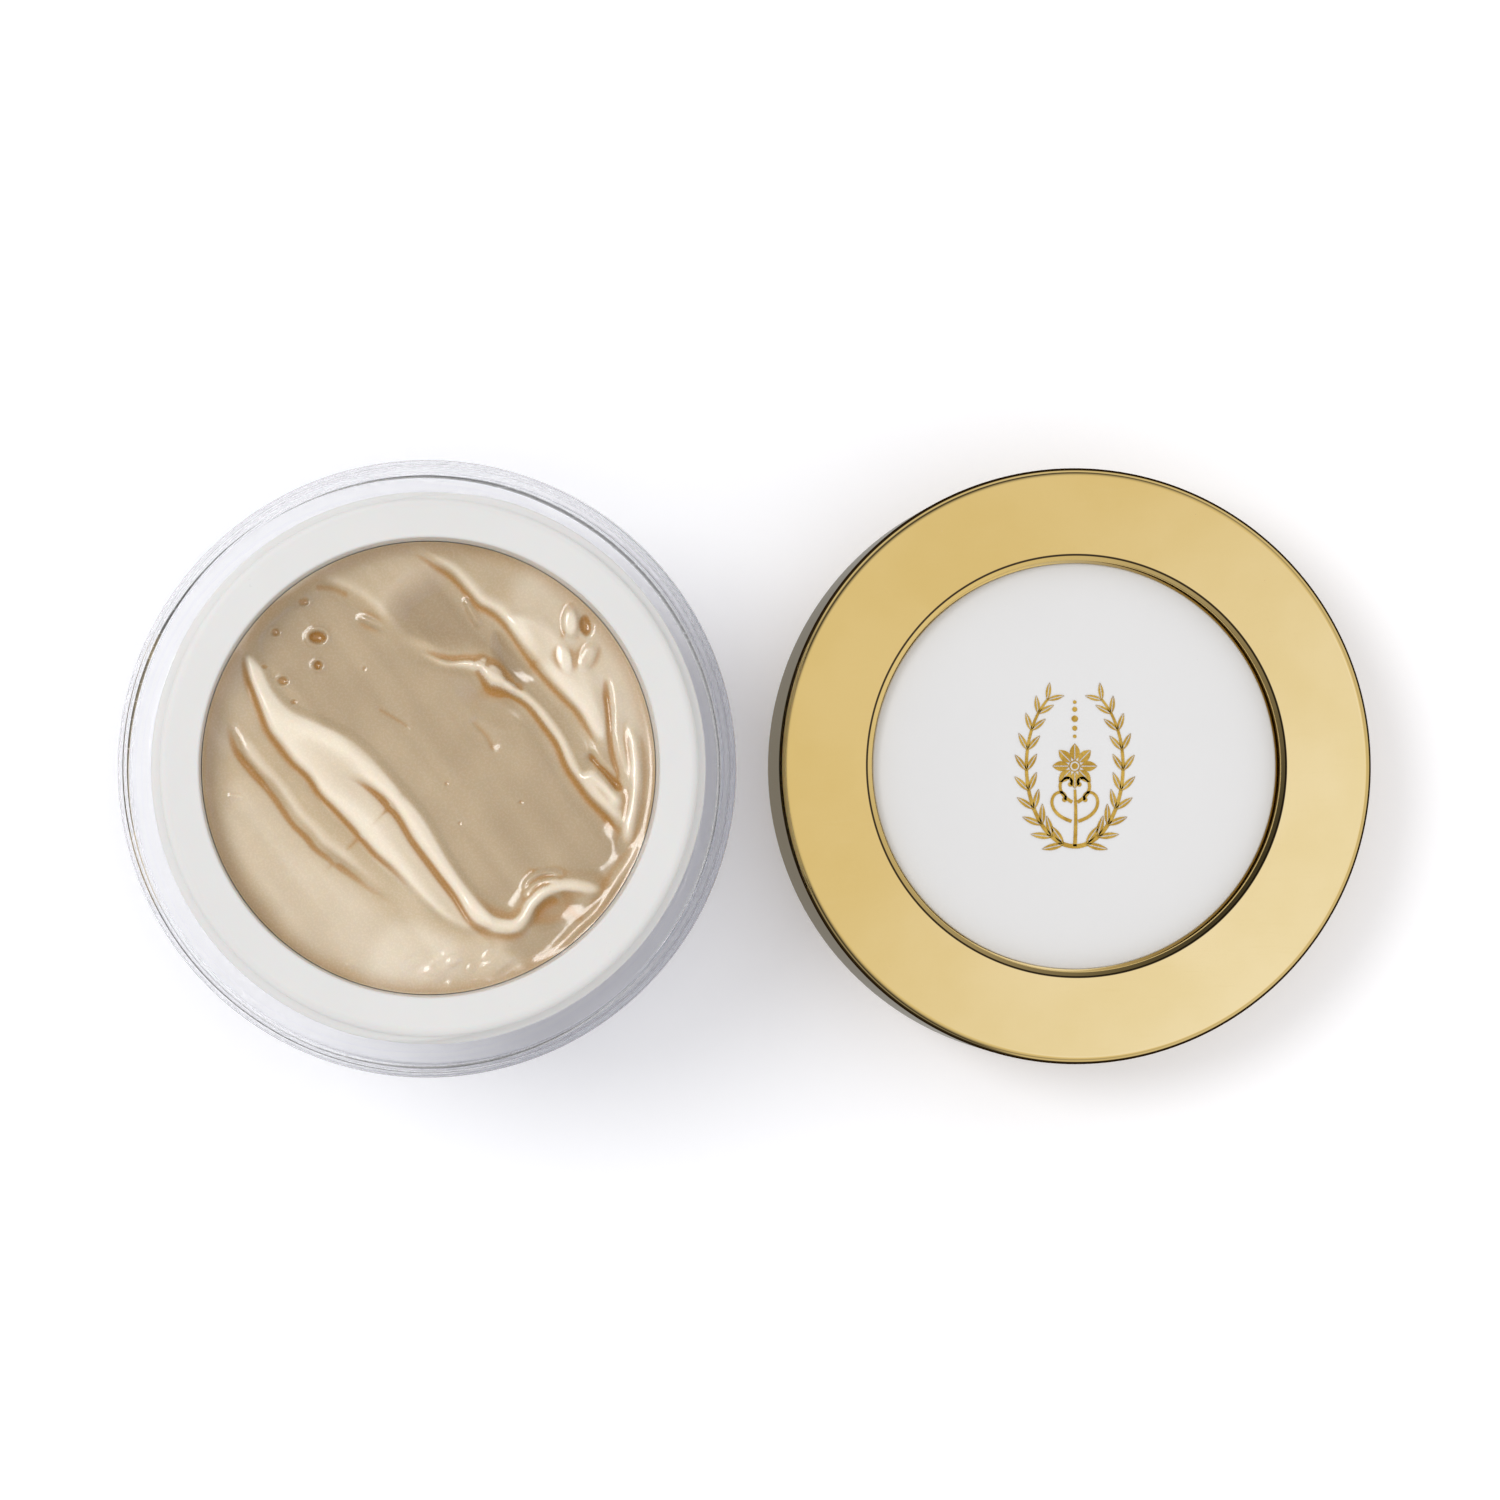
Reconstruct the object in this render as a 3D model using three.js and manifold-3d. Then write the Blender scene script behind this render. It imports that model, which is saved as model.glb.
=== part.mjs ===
// Cosmetic cream jar: a thick clear outer jar, a white threaded inner cup filled with cream, and
// its screw lid standing beside it. Millimetres, +Z up, origin at the centre of the jar's base.
import * as THREE from 'three';
import { mergeVertices } from 'three/addons/utils/BufferGeometryUtils.js';
import Module from 'manifold-3d';

const wasm = await Module();
wasm.setup();

// ---- Driving dimensions -------------------------------------------------------------------------
const SEGMENTS = 48; // facets around every round piece
const ARC_STEPS = 2; // each quarter-round edge gets twice this many facets

const JAR_RADIUS = 32.6;
const LID_RADIUS = 33; // the lid stands a little proud of the jar
const LID_CENTRE = [72, 0.7]; // where the lid stands beside the jar

// Clear outer jar
const SHOULDER_HEIGHT = 39;
const SHOULDER_ROUND = 0.5;
const BASE_ROUND = 0.6;
const BASE_THICKNESS = 9;
const WELL_MOUTH_RADIUS = 27.8;
const WELL_COLLAR_DEPTH = 4.5;
const WELL_BODY_RADIUS = 27.6;
const WELL_FOOT_RADIUS = 26.8;
const WELL_CORNER = 5;

// White inner cup
const RIM_HEIGHT = 48;
const RIM_OUTER_ROUND = 1;
const RIM_INNER_ROUND = 0.3;
const MOUTH_RADIUS = 23.9;
const NECK_RADIUS = 28;
const FLANGE_RADIUS = 28.6;
const FLANGE_THICKNESS = 0.8;
const COLLAR_RADIUS = 27.6;
const COLLAR_DEPTH = 4;
const CUP_BODY_RADIUS = 25.9;
const CUP_FOOT_RADIUS = 25.2;
const CUP_UNDERSIDE = 9.8;
const CUP_FLOOR = 11.4;
const CUP_INNER_FOOT_RADIUS = 23.1;
const CUP_CORNER = 6;

// Cream
const CREAM_TOP = 43.7;
const CREAM_GAP = 0.15;

// Two-start thread shared by the neck and the lid
const THREAD_STARTS = 2;
const THREAD_LEAD = 6; // rise in one full turn of one start
const NECK_BEAD_RADIUS = 1;
const LID_BEAD_RADIUS = 1.15;
const THREAD_SIDES = 8;
const NECK_THREAD_BOTTOM = 41.4;
const NECK_THREAD_TURN = 270; // degrees covered by each start
const NECK_THREAD_TOP_ANGLE = 100; // where the first start ends, in degrees
const NECK_THREAD_FADE = 0.12; // share of each end that sinks into the wall
const LID_THREAD_TURN = 150;
const STEP_ANGLE = 10; // degrees between thread sections

// Lid
const LID_HEIGHT = 16.6;
const LID_EDGE_ROUND = 0.5;
const LID_FOOT_ROUND = 0.4;
const SHELL_WALL = 1.3;
const SHELL_FLOOR = 1.4;
const SNAP_BEAD_DEPTH = 0.4;
const SNAP_BEAD_TOP = 1.3;
const INSET_DEPTH = 2; // from the lid's top face down to the white disc
const INSET_RADIUS = 22.75;
const INSET_LIP_ROUND = 0.75;
const DISC_RADIUS = 22.55;
const DISC_THICKNESS = 0.8;
const DISC_CHAMFER = 0.15;
const PAD_RADIUS = 21.5;
const PAD_THICKNESS = 0.2;
const CAP_PLATE = 1.7;
const CAP_INNER_RADIUS = 29.6;
const CAP_OUTER_RADIUS = 30.85;
const CAP_BOTTOM = 1.6;
const CAP_LEAD_IN = 0.4;
const CAP_RIBS = 24;
const CAP_RIB_WIDTH = 1.2;
const CAP_RIB_REACH = 31.4;
const LINER_RADIUS = 28.9;
const LINER_THICKNESS = 1.5;
const LINER_GAP = 0.1;

// Foil ornament on the white disc: an open oval wreath with a flower in the middle
const FOIL_THICKNESS = 0.1;
const WREATH_HALF_WIDTH = 5.4;
const WREATH_HALF_HEIGHT = 8.9;
const WREATH_STEM = 0.4;
const WREATH_OPENING = 33; // degrees left open each side of the top
const WREATH_STATIONS = 10;
const LEAF_LENGTH = 2.5;
const LEAF_WIDTH = 1;
const LEAF_SPREAD = 34; // degrees between a leaf and the stem
const FLOWER_PETALS = 8;
const FLOWER_RADIUS = 2.6;
const FLOWER_CENTRE_RADIUS = 0.8;
const FLOWER_STALK_WIDTH = 0.42;

// ---- Derived heights in the lid, measured from its foot -------------------------------------------
const DISC_TOP = LID_HEIGHT - INSET_DEPTH;
const PAD_TOP = DISC_TOP - DISC_THICKNESS;
const INSET_FLOOR = PAD_TOP - PAD_THICKNESS;
const SHELL_UNDERSIDE = INSET_FLOOR - SHELL_FLOOR;
const CAP_UNDERSIDE = SHELL_UNDERSIDE - CAP_PLATE;
const LINER_TOP = CAP_UNDERSIDE - LINER_GAP;
const LINER_BOTTOM = LINER_TOP - LINER_THICKNESS;

const RIGHT = 0;
const UP = Math.PI / 2;
const LEFT = Math.PI;
const DOWN = -Math.PI / 2;
const radians = THREE.MathUtils.degToRad;

// ---- Finishes -------------------------------------------------------------------------------------
const finish = (color, roughness, metalness) => () =>
  new THREE.MeshStandardMaterial({ color, roughness, metalness });
const clearAcrylic = finish(0xe6eaee, 0.05, 0);
const whitePlastic = finish(0xebe9e5, 0.4, 0);
const cream = finish(0xd6bf9c, 0.3, 0);
const gold = finish(0xe0c686, 0.12, 1);
const linerFoam = finish(0xf2f2f0, 0.8, 0);
const satinWhite = finish(0xe4e4e4, 0.45, 0);
const adhesive = finish(0xdcd8c8, 0.7, 0);

// ---- Helpers --------------------------------------------------------------------------------------

// Revolve a path of (radius, height) points about Z. The path runs with the material on its left.
function revolve(path) {
  const profile = path.getPoints(ARC_STEPS);
  return new THREE.LatheGeometry(profile, SEGMENTS).rotateX(Math.PI / 2);
}

// A flat round plate with square edges.
function plate(radius, bottom, top) {
  const path = new THREE.Path();
  path.moveTo(0, bottom);
  path.lineTo(radius, bottom);
  path.lineTo(radius, top);
  path.lineTo(0, top);
  return revolve(path);
}

// Turn a closed geometry into a solid that can be joined and cut.
function solid(geometry) {
  const bare = geometry.clone();
  bare.deleteAttribute('normal');
  bare.deleteAttribute('uv');
  const merged = mergeVertices(bare, 1e-4);
  const corners = [];
  for (let i = 0; i < merged.index.count; i += 3) {
    const [a, b, c] = [0, 1, 2].map((k) => merged.index.getX(i + k));
    if (a !== b && b !== c && c !== a) corners.push(a, b, c);
  }
  const vertProperties = new Float32Array(merged.attributes.position.array);
  const triVerts = new Uint32Array(corners);
  return new wasm.Manifold(new wasm.Mesh({ numProp: 3, vertProperties, triVerts }));
}

// Join geometries into one geometry.
function join(...geometries) {
  const joined = geometries.map(solid).reduce((whole, piece) => whole.add(piece));
  const { vertProperties, triVerts } = joined.getMesh();
  const geometry = new THREE.BufferGeometry();
  geometry.setAttribute('position', new THREE.BufferAttribute(vertProperties, 3));
  geometry.setIndex(new THREE.BufferAttribute(triVerts, 1));
  geometry.computeVertexNormals();
  return geometry;
}

function piece(name, geometry, material) {
  const mesh = new THREE.Mesh(geometry, material());
  mesh.name = name;
  return mesh;
}

// ---- Thread ---------------------------------------------------------------------------------------

// A right-handed helix about Z. Its ends move by `sink` in radius, to fade into the wall.
class ThreadPath extends THREE.Curve {
  constructor({ radius, bottom, startAngle, turn, sink, fade }) {
    super();
    Object.assign(this, { radius, bottom, startAngle, turn, sink, fade });
  }

  getPoint(t, target = new THREE.Vector3()) {
    const angle = this.startAngle + this.turn * t;
    const toEnd = Math.min(t, 1 - t);
    const faded = this.fade ? Math.max(0, 1 - toEnd / this.fade) : 0;
    const radius = this.radius + this.sink * faded ** 2;
    const height = this.bottom + (THREAD_LEAD * this.turn * t) / (2 * Math.PI);
    return target.set(radius * Math.cos(angle), radius * Math.sin(angle), height);
  }
}

// One bead of round section along a thread path.
function threadBead(path, beadRadius) {
  const section = new THREE.Shape();
  for (let side = 0; side < THREAD_SIDES; side += 1) {
    const angle = (2 * Math.PI * (side + 0.5)) / THREAD_SIDES;
    const x = beadRadius * Math.cos(angle);
    const y = beadRadius * Math.sin(angle);
    if (side === 0) section.moveTo(x, y);
    else section.lineTo(x, y);
  }
  const steps = Math.round(path.turn / radians(STEP_ANGLE));
  return new THREE.ExtrudeGeometry(section, { extrudePath: path, steps, bevelEnabled: false });
}

// Every start of a thread, spaced evenly around.
function threadBeads({ startAngle, beadRadius, ...rest }) {
  return Array.from({ length: THREAD_STARTS }, (_, start) => {
    const turned = startAngle + (2 * Math.PI * start) / THREAD_STARTS;
    return threadBead(new ThreadPath({ startAngle: turned, ...rest }), beadRadius);
  });
}

// ---- Jar ------------------------------------------------------------------------------------------

function outerJar() {
  const top = SHOULDER_HEIGHT;
  const path = new THREE.Path();
  path.moveTo(0, 0);
  path.lineTo(JAR_RADIUS - BASE_ROUND, 0);
  path.absarc(JAR_RADIUS - BASE_ROUND, BASE_ROUND, BASE_ROUND, DOWN, RIGHT);
  path.absarc(JAR_RADIUS - SHOULDER_ROUND, top - SHOULDER_ROUND, SHOULDER_ROUND, RIGHT, UP);
  path.lineTo(WELL_MOUTH_RADIUS, top);
  path.lineTo(WELL_MOUTH_RADIUS, top - WELL_COLLAR_DEPTH);
  path.lineTo(WELL_BODY_RADIUS, top - WELL_COLLAR_DEPTH);
  const cornerHeight = BASE_THICKNESS + WELL_CORNER;
  path.absarc(WELL_FOOT_RADIUS - WELL_CORNER, cornerHeight, WELL_CORNER, RIGHT, DOWN, true);
  path.lineTo(0, BASE_THICKNESS);
  return piece('outer_jar', revolve(path), clearAcrylic);
}

// The cup's inside, from the mouth down to the centre of its floor, drawn in by `gap`.
function cupInside(path, gap) {
  const corner = CUP_CORNER - gap;
  const centre = CUP_INNER_FOOT_RADIUS - CUP_CORNER;
  path.lineTo(centre + corner, CUP_FLOOR + CUP_CORNER);
  path.absarc(centre, CUP_FLOOR + CUP_CORNER, corner, RIGHT, DOWN, true);
  path.lineTo(0, CUP_FLOOR + gap);
}

function innerCup() {
  const flangeTop = SHOULDER_HEIGHT + FLANGE_THICKNESS;
  const path = new THREE.Path();
  path.moveTo(0, CUP_UNDERSIDE);
  path.lineTo(CUP_FOOT_RADIUS - CUP_CORNER, CUP_UNDERSIDE);
  path.absarc(CUP_FOOT_RADIUS - CUP_CORNER, CUP_UNDERSIDE + CUP_CORNER, CUP_CORNER, DOWN, RIGHT);
  path.lineTo(CUP_BODY_RADIUS, SHOULDER_HEIGHT - COLLAR_DEPTH);
  path.lineTo(COLLAR_RADIUS, SHOULDER_HEIGHT - COLLAR_DEPTH);
  path.lineTo(COLLAR_RADIUS, SHOULDER_HEIGHT);
  path.lineTo(FLANGE_RADIUS, SHOULDER_HEIGHT);
  path.lineTo(FLANGE_RADIUS, flangeTop);
  path.lineTo(NECK_RADIUS, flangeTop);
  const [outer, inner] = [RIM_OUTER_ROUND, RIM_INNER_ROUND];
  path.absarc(NECK_RADIUS - outer, RIM_HEIGHT - outer, outer, RIGHT, UP);
  path.absarc(MOUTH_RADIUS + inner, RIM_HEIGHT - inner, inner, UP, LEFT);
  cupInside(path, 0);
  const turn = radians(NECK_THREAD_TURN);
  const beads = threadBeads({
    radius: NECK_RADIUS,
    bottom: NECK_THREAD_BOTTOM,
    startAngle: radians(NECK_THREAD_TOP_ANGLE) - turn,
    turn,
    beadRadius: NECK_BEAD_RADIUS,
    sink: -1.5 * NECK_BEAD_RADIUS,
    fade: NECK_THREAD_FADE,
  });
  return piece('inner_cup', join(revolve(path), ...beads), whitePlastic);
}

function creamFill() {
  const path = new THREE.Path();
  const inside = new THREE.Path();
  const draft = (MOUTH_RADIUS - CUP_INNER_FOOT_RADIUS) / (RIM_HEIGHT - CUP_FLOOR - CUP_CORNER);
  const topRadius = MOUTH_RADIUS - draft * (RIM_HEIGHT - CREAM_TOP) - CREAM_GAP;
  inside.moveTo(topRadius, CREAM_TOP);
  cupInside(inside, CREAM_GAP);
  path.setFromPoints([...inside.getPoints(ARC_STEPS).reverse(), new THREE.Vector2(0, CREAM_TOP)]);
  return piece('cream_fill', revolve(path), cream);
}

// ---- Lid ------------------------------------------------------------------------------------------

function lidShell() {
  const inner = LID_RADIUS - SHELL_WALL;
  const bead = inner - SNAP_BEAD_DEPTH;
  const path = new THREE.Path();
  path.moveTo(0, SHELL_UNDERSIDE);
  path.lineTo(inner, SHELL_UNDERSIDE);
  path.lineTo(inner, SNAP_BEAD_TOP);
  path.lineTo(bead, SNAP_BEAD_TOP - SNAP_BEAD_DEPTH);
  path.lineTo(bead, SNAP_BEAD_DEPTH);
  path.lineTo(inner, 0);
  path.absarc(LID_RADIUS - LID_FOOT_ROUND, LID_FOOT_ROUND, LID_FOOT_ROUND, DOWN, RIGHT);
  path.absarc(LID_RADIUS - LID_EDGE_ROUND, LID_HEIGHT - LID_EDGE_ROUND, LID_EDGE_ROUND, RIGHT, UP);
  const lip = INSET_LIP_ROUND;
  path.absarc(INSET_RADIUS + lip, LID_HEIGHT - lip, lip, UP, LEFT);
  path.lineTo(INSET_RADIUS, INSET_FLOOR);
  path.lineTo(0, INSET_FLOOR);
  return piece('lid_shell', revolve(path), gold);
}

// One of the upright ribs that grip the inside of the shell.
function capRib(index) {
  const inner = (CAP_INNER_RADIUS + CAP_OUTER_RADIUS) / 2;
  const bottom = CAP_BOTTOM + 1;
  const top = SHELL_UNDERSIDE - 1;
  const rib = new THREE.BoxGeometry(CAP_RIB_REACH - inner, CAP_RIB_WIDTH, top - bottom);
  rib.translate((CAP_RIB_REACH + inner) / 2, 0, (top + bottom) / 2);
  return rib.rotateZ((2 * Math.PI * (index + 0.5)) / CAP_RIBS);
}

function lidInnerCap() {
  const path = new THREE.Path();
  path.moveTo(0, CAP_UNDERSIDE);
  path.lineTo(CAP_INNER_RADIUS, CAP_UNDERSIDE);
  path.lineTo(CAP_INNER_RADIUS, CAP_BOTTOM + CAP_LEAD_IN);
  path.lineTo(CAP_INNER_RADIUS + CAP_LEAD_IN, CAP_BOTTOM);
  path.lineTo(CAP_OUTER_RADIUS, CAP_BOTTOM);
  path.lineTo(CAP_OUTER_RADIUS, SHELL_UNDERSIDE - CAP_LEAD_IN);
  path.lineTo(CAP_OUTER_RADIUS - CAP_LEAD_IN, SHELL_UNDERSIDE);
  path.lineTo(0, SHELL_UNDERSIDE);
  const ribs = Array.from({ length: CAP_RIBS }, (_, index) => capRib(index));
  const beads = threadBeads({
    radius: CAP_INNER_RADIUS,
    bottom: CAP_BOTTOM + LID_BEAD_RADIUS + CAP_LEAD_IN,
    startAngle: 0,
    turn: radians(LID_THREAD_TURN),
    beadRadius: LID_BEAD_RADIUS,
    sink: 0,
    fade: 0,
  });
  return piece('lid_inner_cap', join(revolve(path), ...ribs, ...beads), whitePlastic);
}

function lidLiner() {
  return piece('lid_liner', plate(LINER_RADIUS, LINER_BOTTOM, LINER_TOP), linerFoam);
}

function insetPad() {
  return piece('inset_adhesive_pad', plate(PAD_RADIUS, INSET_FLOOR, PAD_TOP), adhesive);
}

function insetDisc() {
  const path = new THREE.Path();
  path.moveTo(0, PAD_TOP);
  path.lineTo(DISC_RADIUS, PAD_TOP);
  path.lineTo(DISC_RADIUS, DISC_TOP - DISC_CHAMFER);
  path.lineTo(DISC_RADIUS - DISC_CHAMFER, DISC_TOP);
  path.lineTo(0, DISC_TOP);
  return piece('lid_inset_disc', revolve(path), satinWhite);
}

// ---- Foil ornament --------------------------------------------------------------------------------

const foil = (shape, curveSegments = 4) =>
  new THREE.ExtrudeGeometry(shape, { depth: FOIL_THICKNESS, bevelEnabled: false, curveSegments });

// A pointed leaf with its foot at the origin, along +X.
function leafShape(length, width) {
  const shape = new THREE.Shape();
  shape.moveTo(0, 0);
  shape.quadraticCurveTo(length * 0.45, -width, length, 0);
  shape.quadraticCurveTo(length * 0.45, width, 0, 0);
  return shape;
}

function wreathStem() {
  const [x, y, half] = [WREATH_HALF_WIDTH, WREATH_HALF_HEIGHT, WREATH_STEM / 2];
  const from = UP + radians(WREATH_OPENING);
  const to = UP + 2 * Math.PI - radians(WREATH_OPENING);
  const shape = new THREE.Shape();
  shape.absellipse(0, 0, x + half, y + half, from, to);
  shape.absellipse(0, 0, x - half, y - half, to, from, true);
  return foil(shape, 24);
}

// The two leaves at one station of the wreath, one on each side of the stem.
function leafPair(station, side) {
  const span = Math.PI - radians(WREATH_OPENING);
  const along = DOWN + (side * span * (station + 0.9)) / WREATH_STATIONS;
  const foot = [WREATH_HALF_WIDTH * Math.cos(along), WREATH_HALF_HEIGHT * Math.sin(along)];
  const slope = [-WREATH_HALF_WIDTH * Math.sin(along), WREATH_HALF_HEIGHT * Math.cos(along)];
  const heading = Math.atan2(side * slope[1], side * slope[0]);
  return [-1, 1].map((turn) => {
    const leaf = foil(leafShape(LEAF_LENGTH, LEAF_WIDTH));
    return leaf.rotateZ(heading + turn * radians(LEAF_SPREAD)).translate(...foot, 0);
  });
}

function flower() {
  const petals = Array.from({ length: FLOWER_PETALS }, (_, index) =>
    foil(leafShape(FLOWER_RADIUS, LEAF_WIDTH)).rotateZ((2 * Math.PI * index) / FLOWER_PETALS),
  );
  const centre = new THREE.Shape();
  centre.absarc(0, 0, FLOWER_CENTRE_RADIUS, 0, 2 * Math.PI);
  const stalk = new THREE.Shape();
  const half = FLOWER_STALK_WIDTH / 2;
  stalk.moveTo(-half, -WREATH_HALF_HEIGHT);
  stalk.lineTo(half, -WREATH_HALF_HEIGHT);
  stalk.lineTo(half, 0);
  stalk.lineTo(-half, 0);
  return [...petals, foil(centre, 6), foil(stalk)];
}

function foilOrnament() {
  const leaves = [];
  for (let station = 0; station < WREATH_STATIONS; station += 1) {
    leaves.push(...leafPair(station, 1), ...leafPair(station, -1));
  }
  const mesh = piece('foil_ornament', join(wreathStem(), ...leaves, ...flower()), gold);
  mesh.position.z = DISC_TOP;
  return mesh;
}

// ---- Assembly -------------------------------------------------------------------------------------

const jar = new THREE.Group();
jar.add(outerJar(), innerCup(), creamFill());

const lid = new THREE.Group();
lid.add(lidShell(), lidInnerCap(), lidLiner(), insetPad(), insetDisc(), foilOrnament());
lid.position.set(...LID_CENTRE, 0);

const creamJar = new THREE.Group();
creamJar.add(jar, lid);

export default creamJar;
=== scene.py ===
"""Looks of a screw-topped cream jar: clear outer jar, white cup, swirled cream and gold lid.

Sizes in the classes are millimetres. Meshes are made in metres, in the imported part's frame.
"""

import logging
import math
from dataclasses import dataclass, field
from enum import Enum
from typing import Any, Callable, Optional, Sequence

import bpy
import numpy as np
from mathutils import Matrix, Vector


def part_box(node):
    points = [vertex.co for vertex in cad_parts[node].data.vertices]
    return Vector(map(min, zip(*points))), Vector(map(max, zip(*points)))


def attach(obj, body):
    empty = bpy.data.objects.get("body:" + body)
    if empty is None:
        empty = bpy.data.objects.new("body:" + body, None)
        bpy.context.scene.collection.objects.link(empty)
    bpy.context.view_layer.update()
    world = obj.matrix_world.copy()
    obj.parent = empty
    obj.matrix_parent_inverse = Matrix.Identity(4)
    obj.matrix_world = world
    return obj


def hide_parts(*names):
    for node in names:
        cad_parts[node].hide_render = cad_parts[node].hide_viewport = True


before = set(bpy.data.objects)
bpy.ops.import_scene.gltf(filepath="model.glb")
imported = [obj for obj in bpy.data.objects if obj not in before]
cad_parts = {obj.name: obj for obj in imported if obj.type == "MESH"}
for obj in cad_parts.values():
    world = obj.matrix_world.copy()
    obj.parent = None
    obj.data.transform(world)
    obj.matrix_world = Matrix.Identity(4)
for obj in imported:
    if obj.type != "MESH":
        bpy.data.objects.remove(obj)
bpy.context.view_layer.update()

LOG = logging.getLogger("cream_jar")
MM = 0.001  # metres in a millimetre
AROUND = 256  # facets round each turned piece
SUPPORT = 0.05  # distance of a supporting edge loop from a corner
LONG_LINE = 6 * SUPPORT  # only lines longer than this are supported
TINY = 1e-6  # lengths below this count as nothing
ON_WALL = 1e-4  # how near a radius has to be to a wall to lie on it

Point = tuple[float, float]
Colour = tuple[float, float, float]
Swell = Callable[[np.ndarray, np.ndarray], np.ndarray]


def axis_of(node: str) -> Point:
    """Return where a round CAD node's upright axis stands, in millimetres to the nearest micron."""
    low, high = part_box(node)
    return (round((low.x + high.x) / 2 / MM, 3), round((low.y + high.y) / 2 / MM, 3))


LID_AXIS = axis_of("lid_shell")


# ---- Meshes ---------------------------------------------------------------------------------------


@dataclass
class Outline:
    """The half section of a turned piece, drawn with the material on the path's left.

    Attributes:
        points: Corners as (radius, height).
    """

    points: list[Point] = field(default_factory=list)

    def to(self, radius: float, height: float) -> "Outline":
        """Draw a straight line to a point and return the outline."""
        self.points.append((radius, height))
        return self

    def arc(self, centre: Point, radius: float, start: float, end: float, steps: int = 10) -> "Outline":
        """Draw an arc.

        Args:
            centre: Centre of the arc as (radius, height).
            radius: The arc's own radius.
            start: First angle in degrees.
            end: Last angle in degrees.
            steps: Number of straight pieces.

        Returns:
            The outline.
        """
        for angle in np.radians(np.linspace(start, end, steps + 1)):
            self.to(centre[0] + radius * math.cos(angle), centre[1] + radius * math.sin(angle))
        return self

    def grooves(self, lines: Sequence[tuple[float, float, float]], top: float) -> "Outline":
        """Add fine V grooves to a flat top, given as radius, half width and depth.

        Args:
            lines: Radius, half width and depth of each groove.
            top: Height of the flat top.

        Returns:
            The outline.
        """
        for radius, half, depth in lines:
            self.to(radius + half, top).to(radius, top - depth).to(radius - half, top)
        return self

    def supported(self) -> np.ndarray:
        """Return the corners with supporting points beside each long line's ends.

        Returns:
            The points as rows of (radius, height).
        """
        made = [self.points[0]]
        for before, after in zip(self.points, self.points[1:]):
            start, end = np.array(before), np.array(after)
            length = float(np.linalg.norm(end - start))
            if length < TINY:
                continue
            if length > LONG_LINE:
                along = (end - start) * SUPPORT / length
                made += [tuple(start + along), tuple(end - along)]
            made.append(after)
        return np.array(made)


def make_piece(
    name: str, points: np.ndarray, faces: Sequence[Sequence[int]], sharp: float = 40
) -> bpy.types.Object:
    """Make one smooth-shaded mesh object.

    Args:
        name: The piece's name.
        points: Vertex places in millimetres.
        faces: Vertex numbers of each face.
        sharp: Edges that turn by more than this many degrees stay sharp.

    Returns:
        The new object, linked to the scene.
    """
    mesh = bpy.data.meshes.new(name)
    mesh.from_pydata((points * MM).tolist(), [], faces)
    mesh.shade_smooth()
    mesh.set_sharp_from_angle(angle=math.radians(sharp))
    mesh.update()
    piece = bpy.data.objects.new(name, mesh)
    bpy.context.scene.collection.objects.link(piece)
    return piece


def turned(
    name: str, outline: Outline, centre: Point = (0, 0), swell: Optional[Swell] = None
) -> bpy.types.Object:
    """Turn an outline about an upright axis.

    Args:
        name: The piece's name.
        outline: Half section of the piece.
        centre: Where the axis stands.
        swell: Gives the radius to add at (angle, height) to each point of the outline.

    Returns:
        The turned piece.
    """
    profile = outline.supported()
    angles = 2 * np.pi * np.arange(AROUND) / AROUND
    radius = np.repeat(profile[:, :1], AROUND, axis=1)
    height = np.repeat(profile[:, 1:], AROUND, axis=1)
    if swell:
        radius = radius + swell(np.broadcast_to(angles, radius.shape), height) * (radius > 1)
    places = np.stack([centre[0] + radius * np.cos(angles), centre[1] + radius * np.sin(angles), height], -1)
    points: list[np.ndarray] = []
    rows: list[np.ndarray] = []
    for place, on_axis in zip(places, profile[:, 0] < TINY):
        start = len(points)
        points += [place[0]] if on_axis else list(place)
        rows.append(np.full(AROUND, start) if on_axis else start + np.arange(AROUND))
    faces = []
    for low, high in zip(rows, rows[1:]):
        for a, b, c, d in zip(low, np.roll(low, -1), np.roll(high, -1), high):
            corners = list(dict.fromkeys((int(a), int(b), int(c), int(d))))
            faces.append(corners)
    return make_piece(name, np.array(points), faces)


# ---- Shader building ------------------------------------------------------------------------------


def add(
    tree: bpy.types.NodeTree, kind: str, inputs: Optional[dict[Any, Any]] = None, **settings: Any
) -> bpy.types.Node:
    """Add a node to a tree.

    Args:
        tree: The tree to add to.
        kind: The node's type, without its ShaderNode prefix.
        inputs: Values or sockets for the node's inputs, by name or number.
        **settings: The node's own properties.

    Returns:
        The new node.
    """
    node = tree.nodes.new("ShaderNode" + kind)
    for name, value in settings.items():
        setattr(node, name, value)
    for name, value in (inputs or {}).items():
        socket = node.inputs[name]
        if isinstance(value, bpy.types.NodeSocket):
            tree.links.new(value, socket)
        else:
            socket.default_value = value
    return node


def math_node(tree: bpy.types.NodeTree, operation: str, *values: Any) -> bpy.types.NodeSocket:
    """Add a Math node and return its output."""
    return add(tree, "Math", dict(enumerate(values)), operation=operation).outputs[0]


def blended(tree: bpy.types.NodeTree, share: Any, first: Any, second: Any) -> bpy.types.NodeSocket:
    """Mix two colours and return the result."""
    values = {0: share, 6: first, 7: second}
    return add(tree, "Mix", values, data_type="RGBA").outputs[2]


def remapped(
    tree: bpy.types.NodeTree, value: Any, low: float, high: float, to_low: float = 0, to_high: float = 1
) -> bpy.types.NodeSocket:
    """Smoothly map a value from one range to another and return the result."""
    values = {0: value, 1: low, 2: high, 3: to_low, 4: to_high}
    return add(tree, "MapRange", values, interpolation_type="SMOOTHSTEP").outputs[0]


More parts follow.
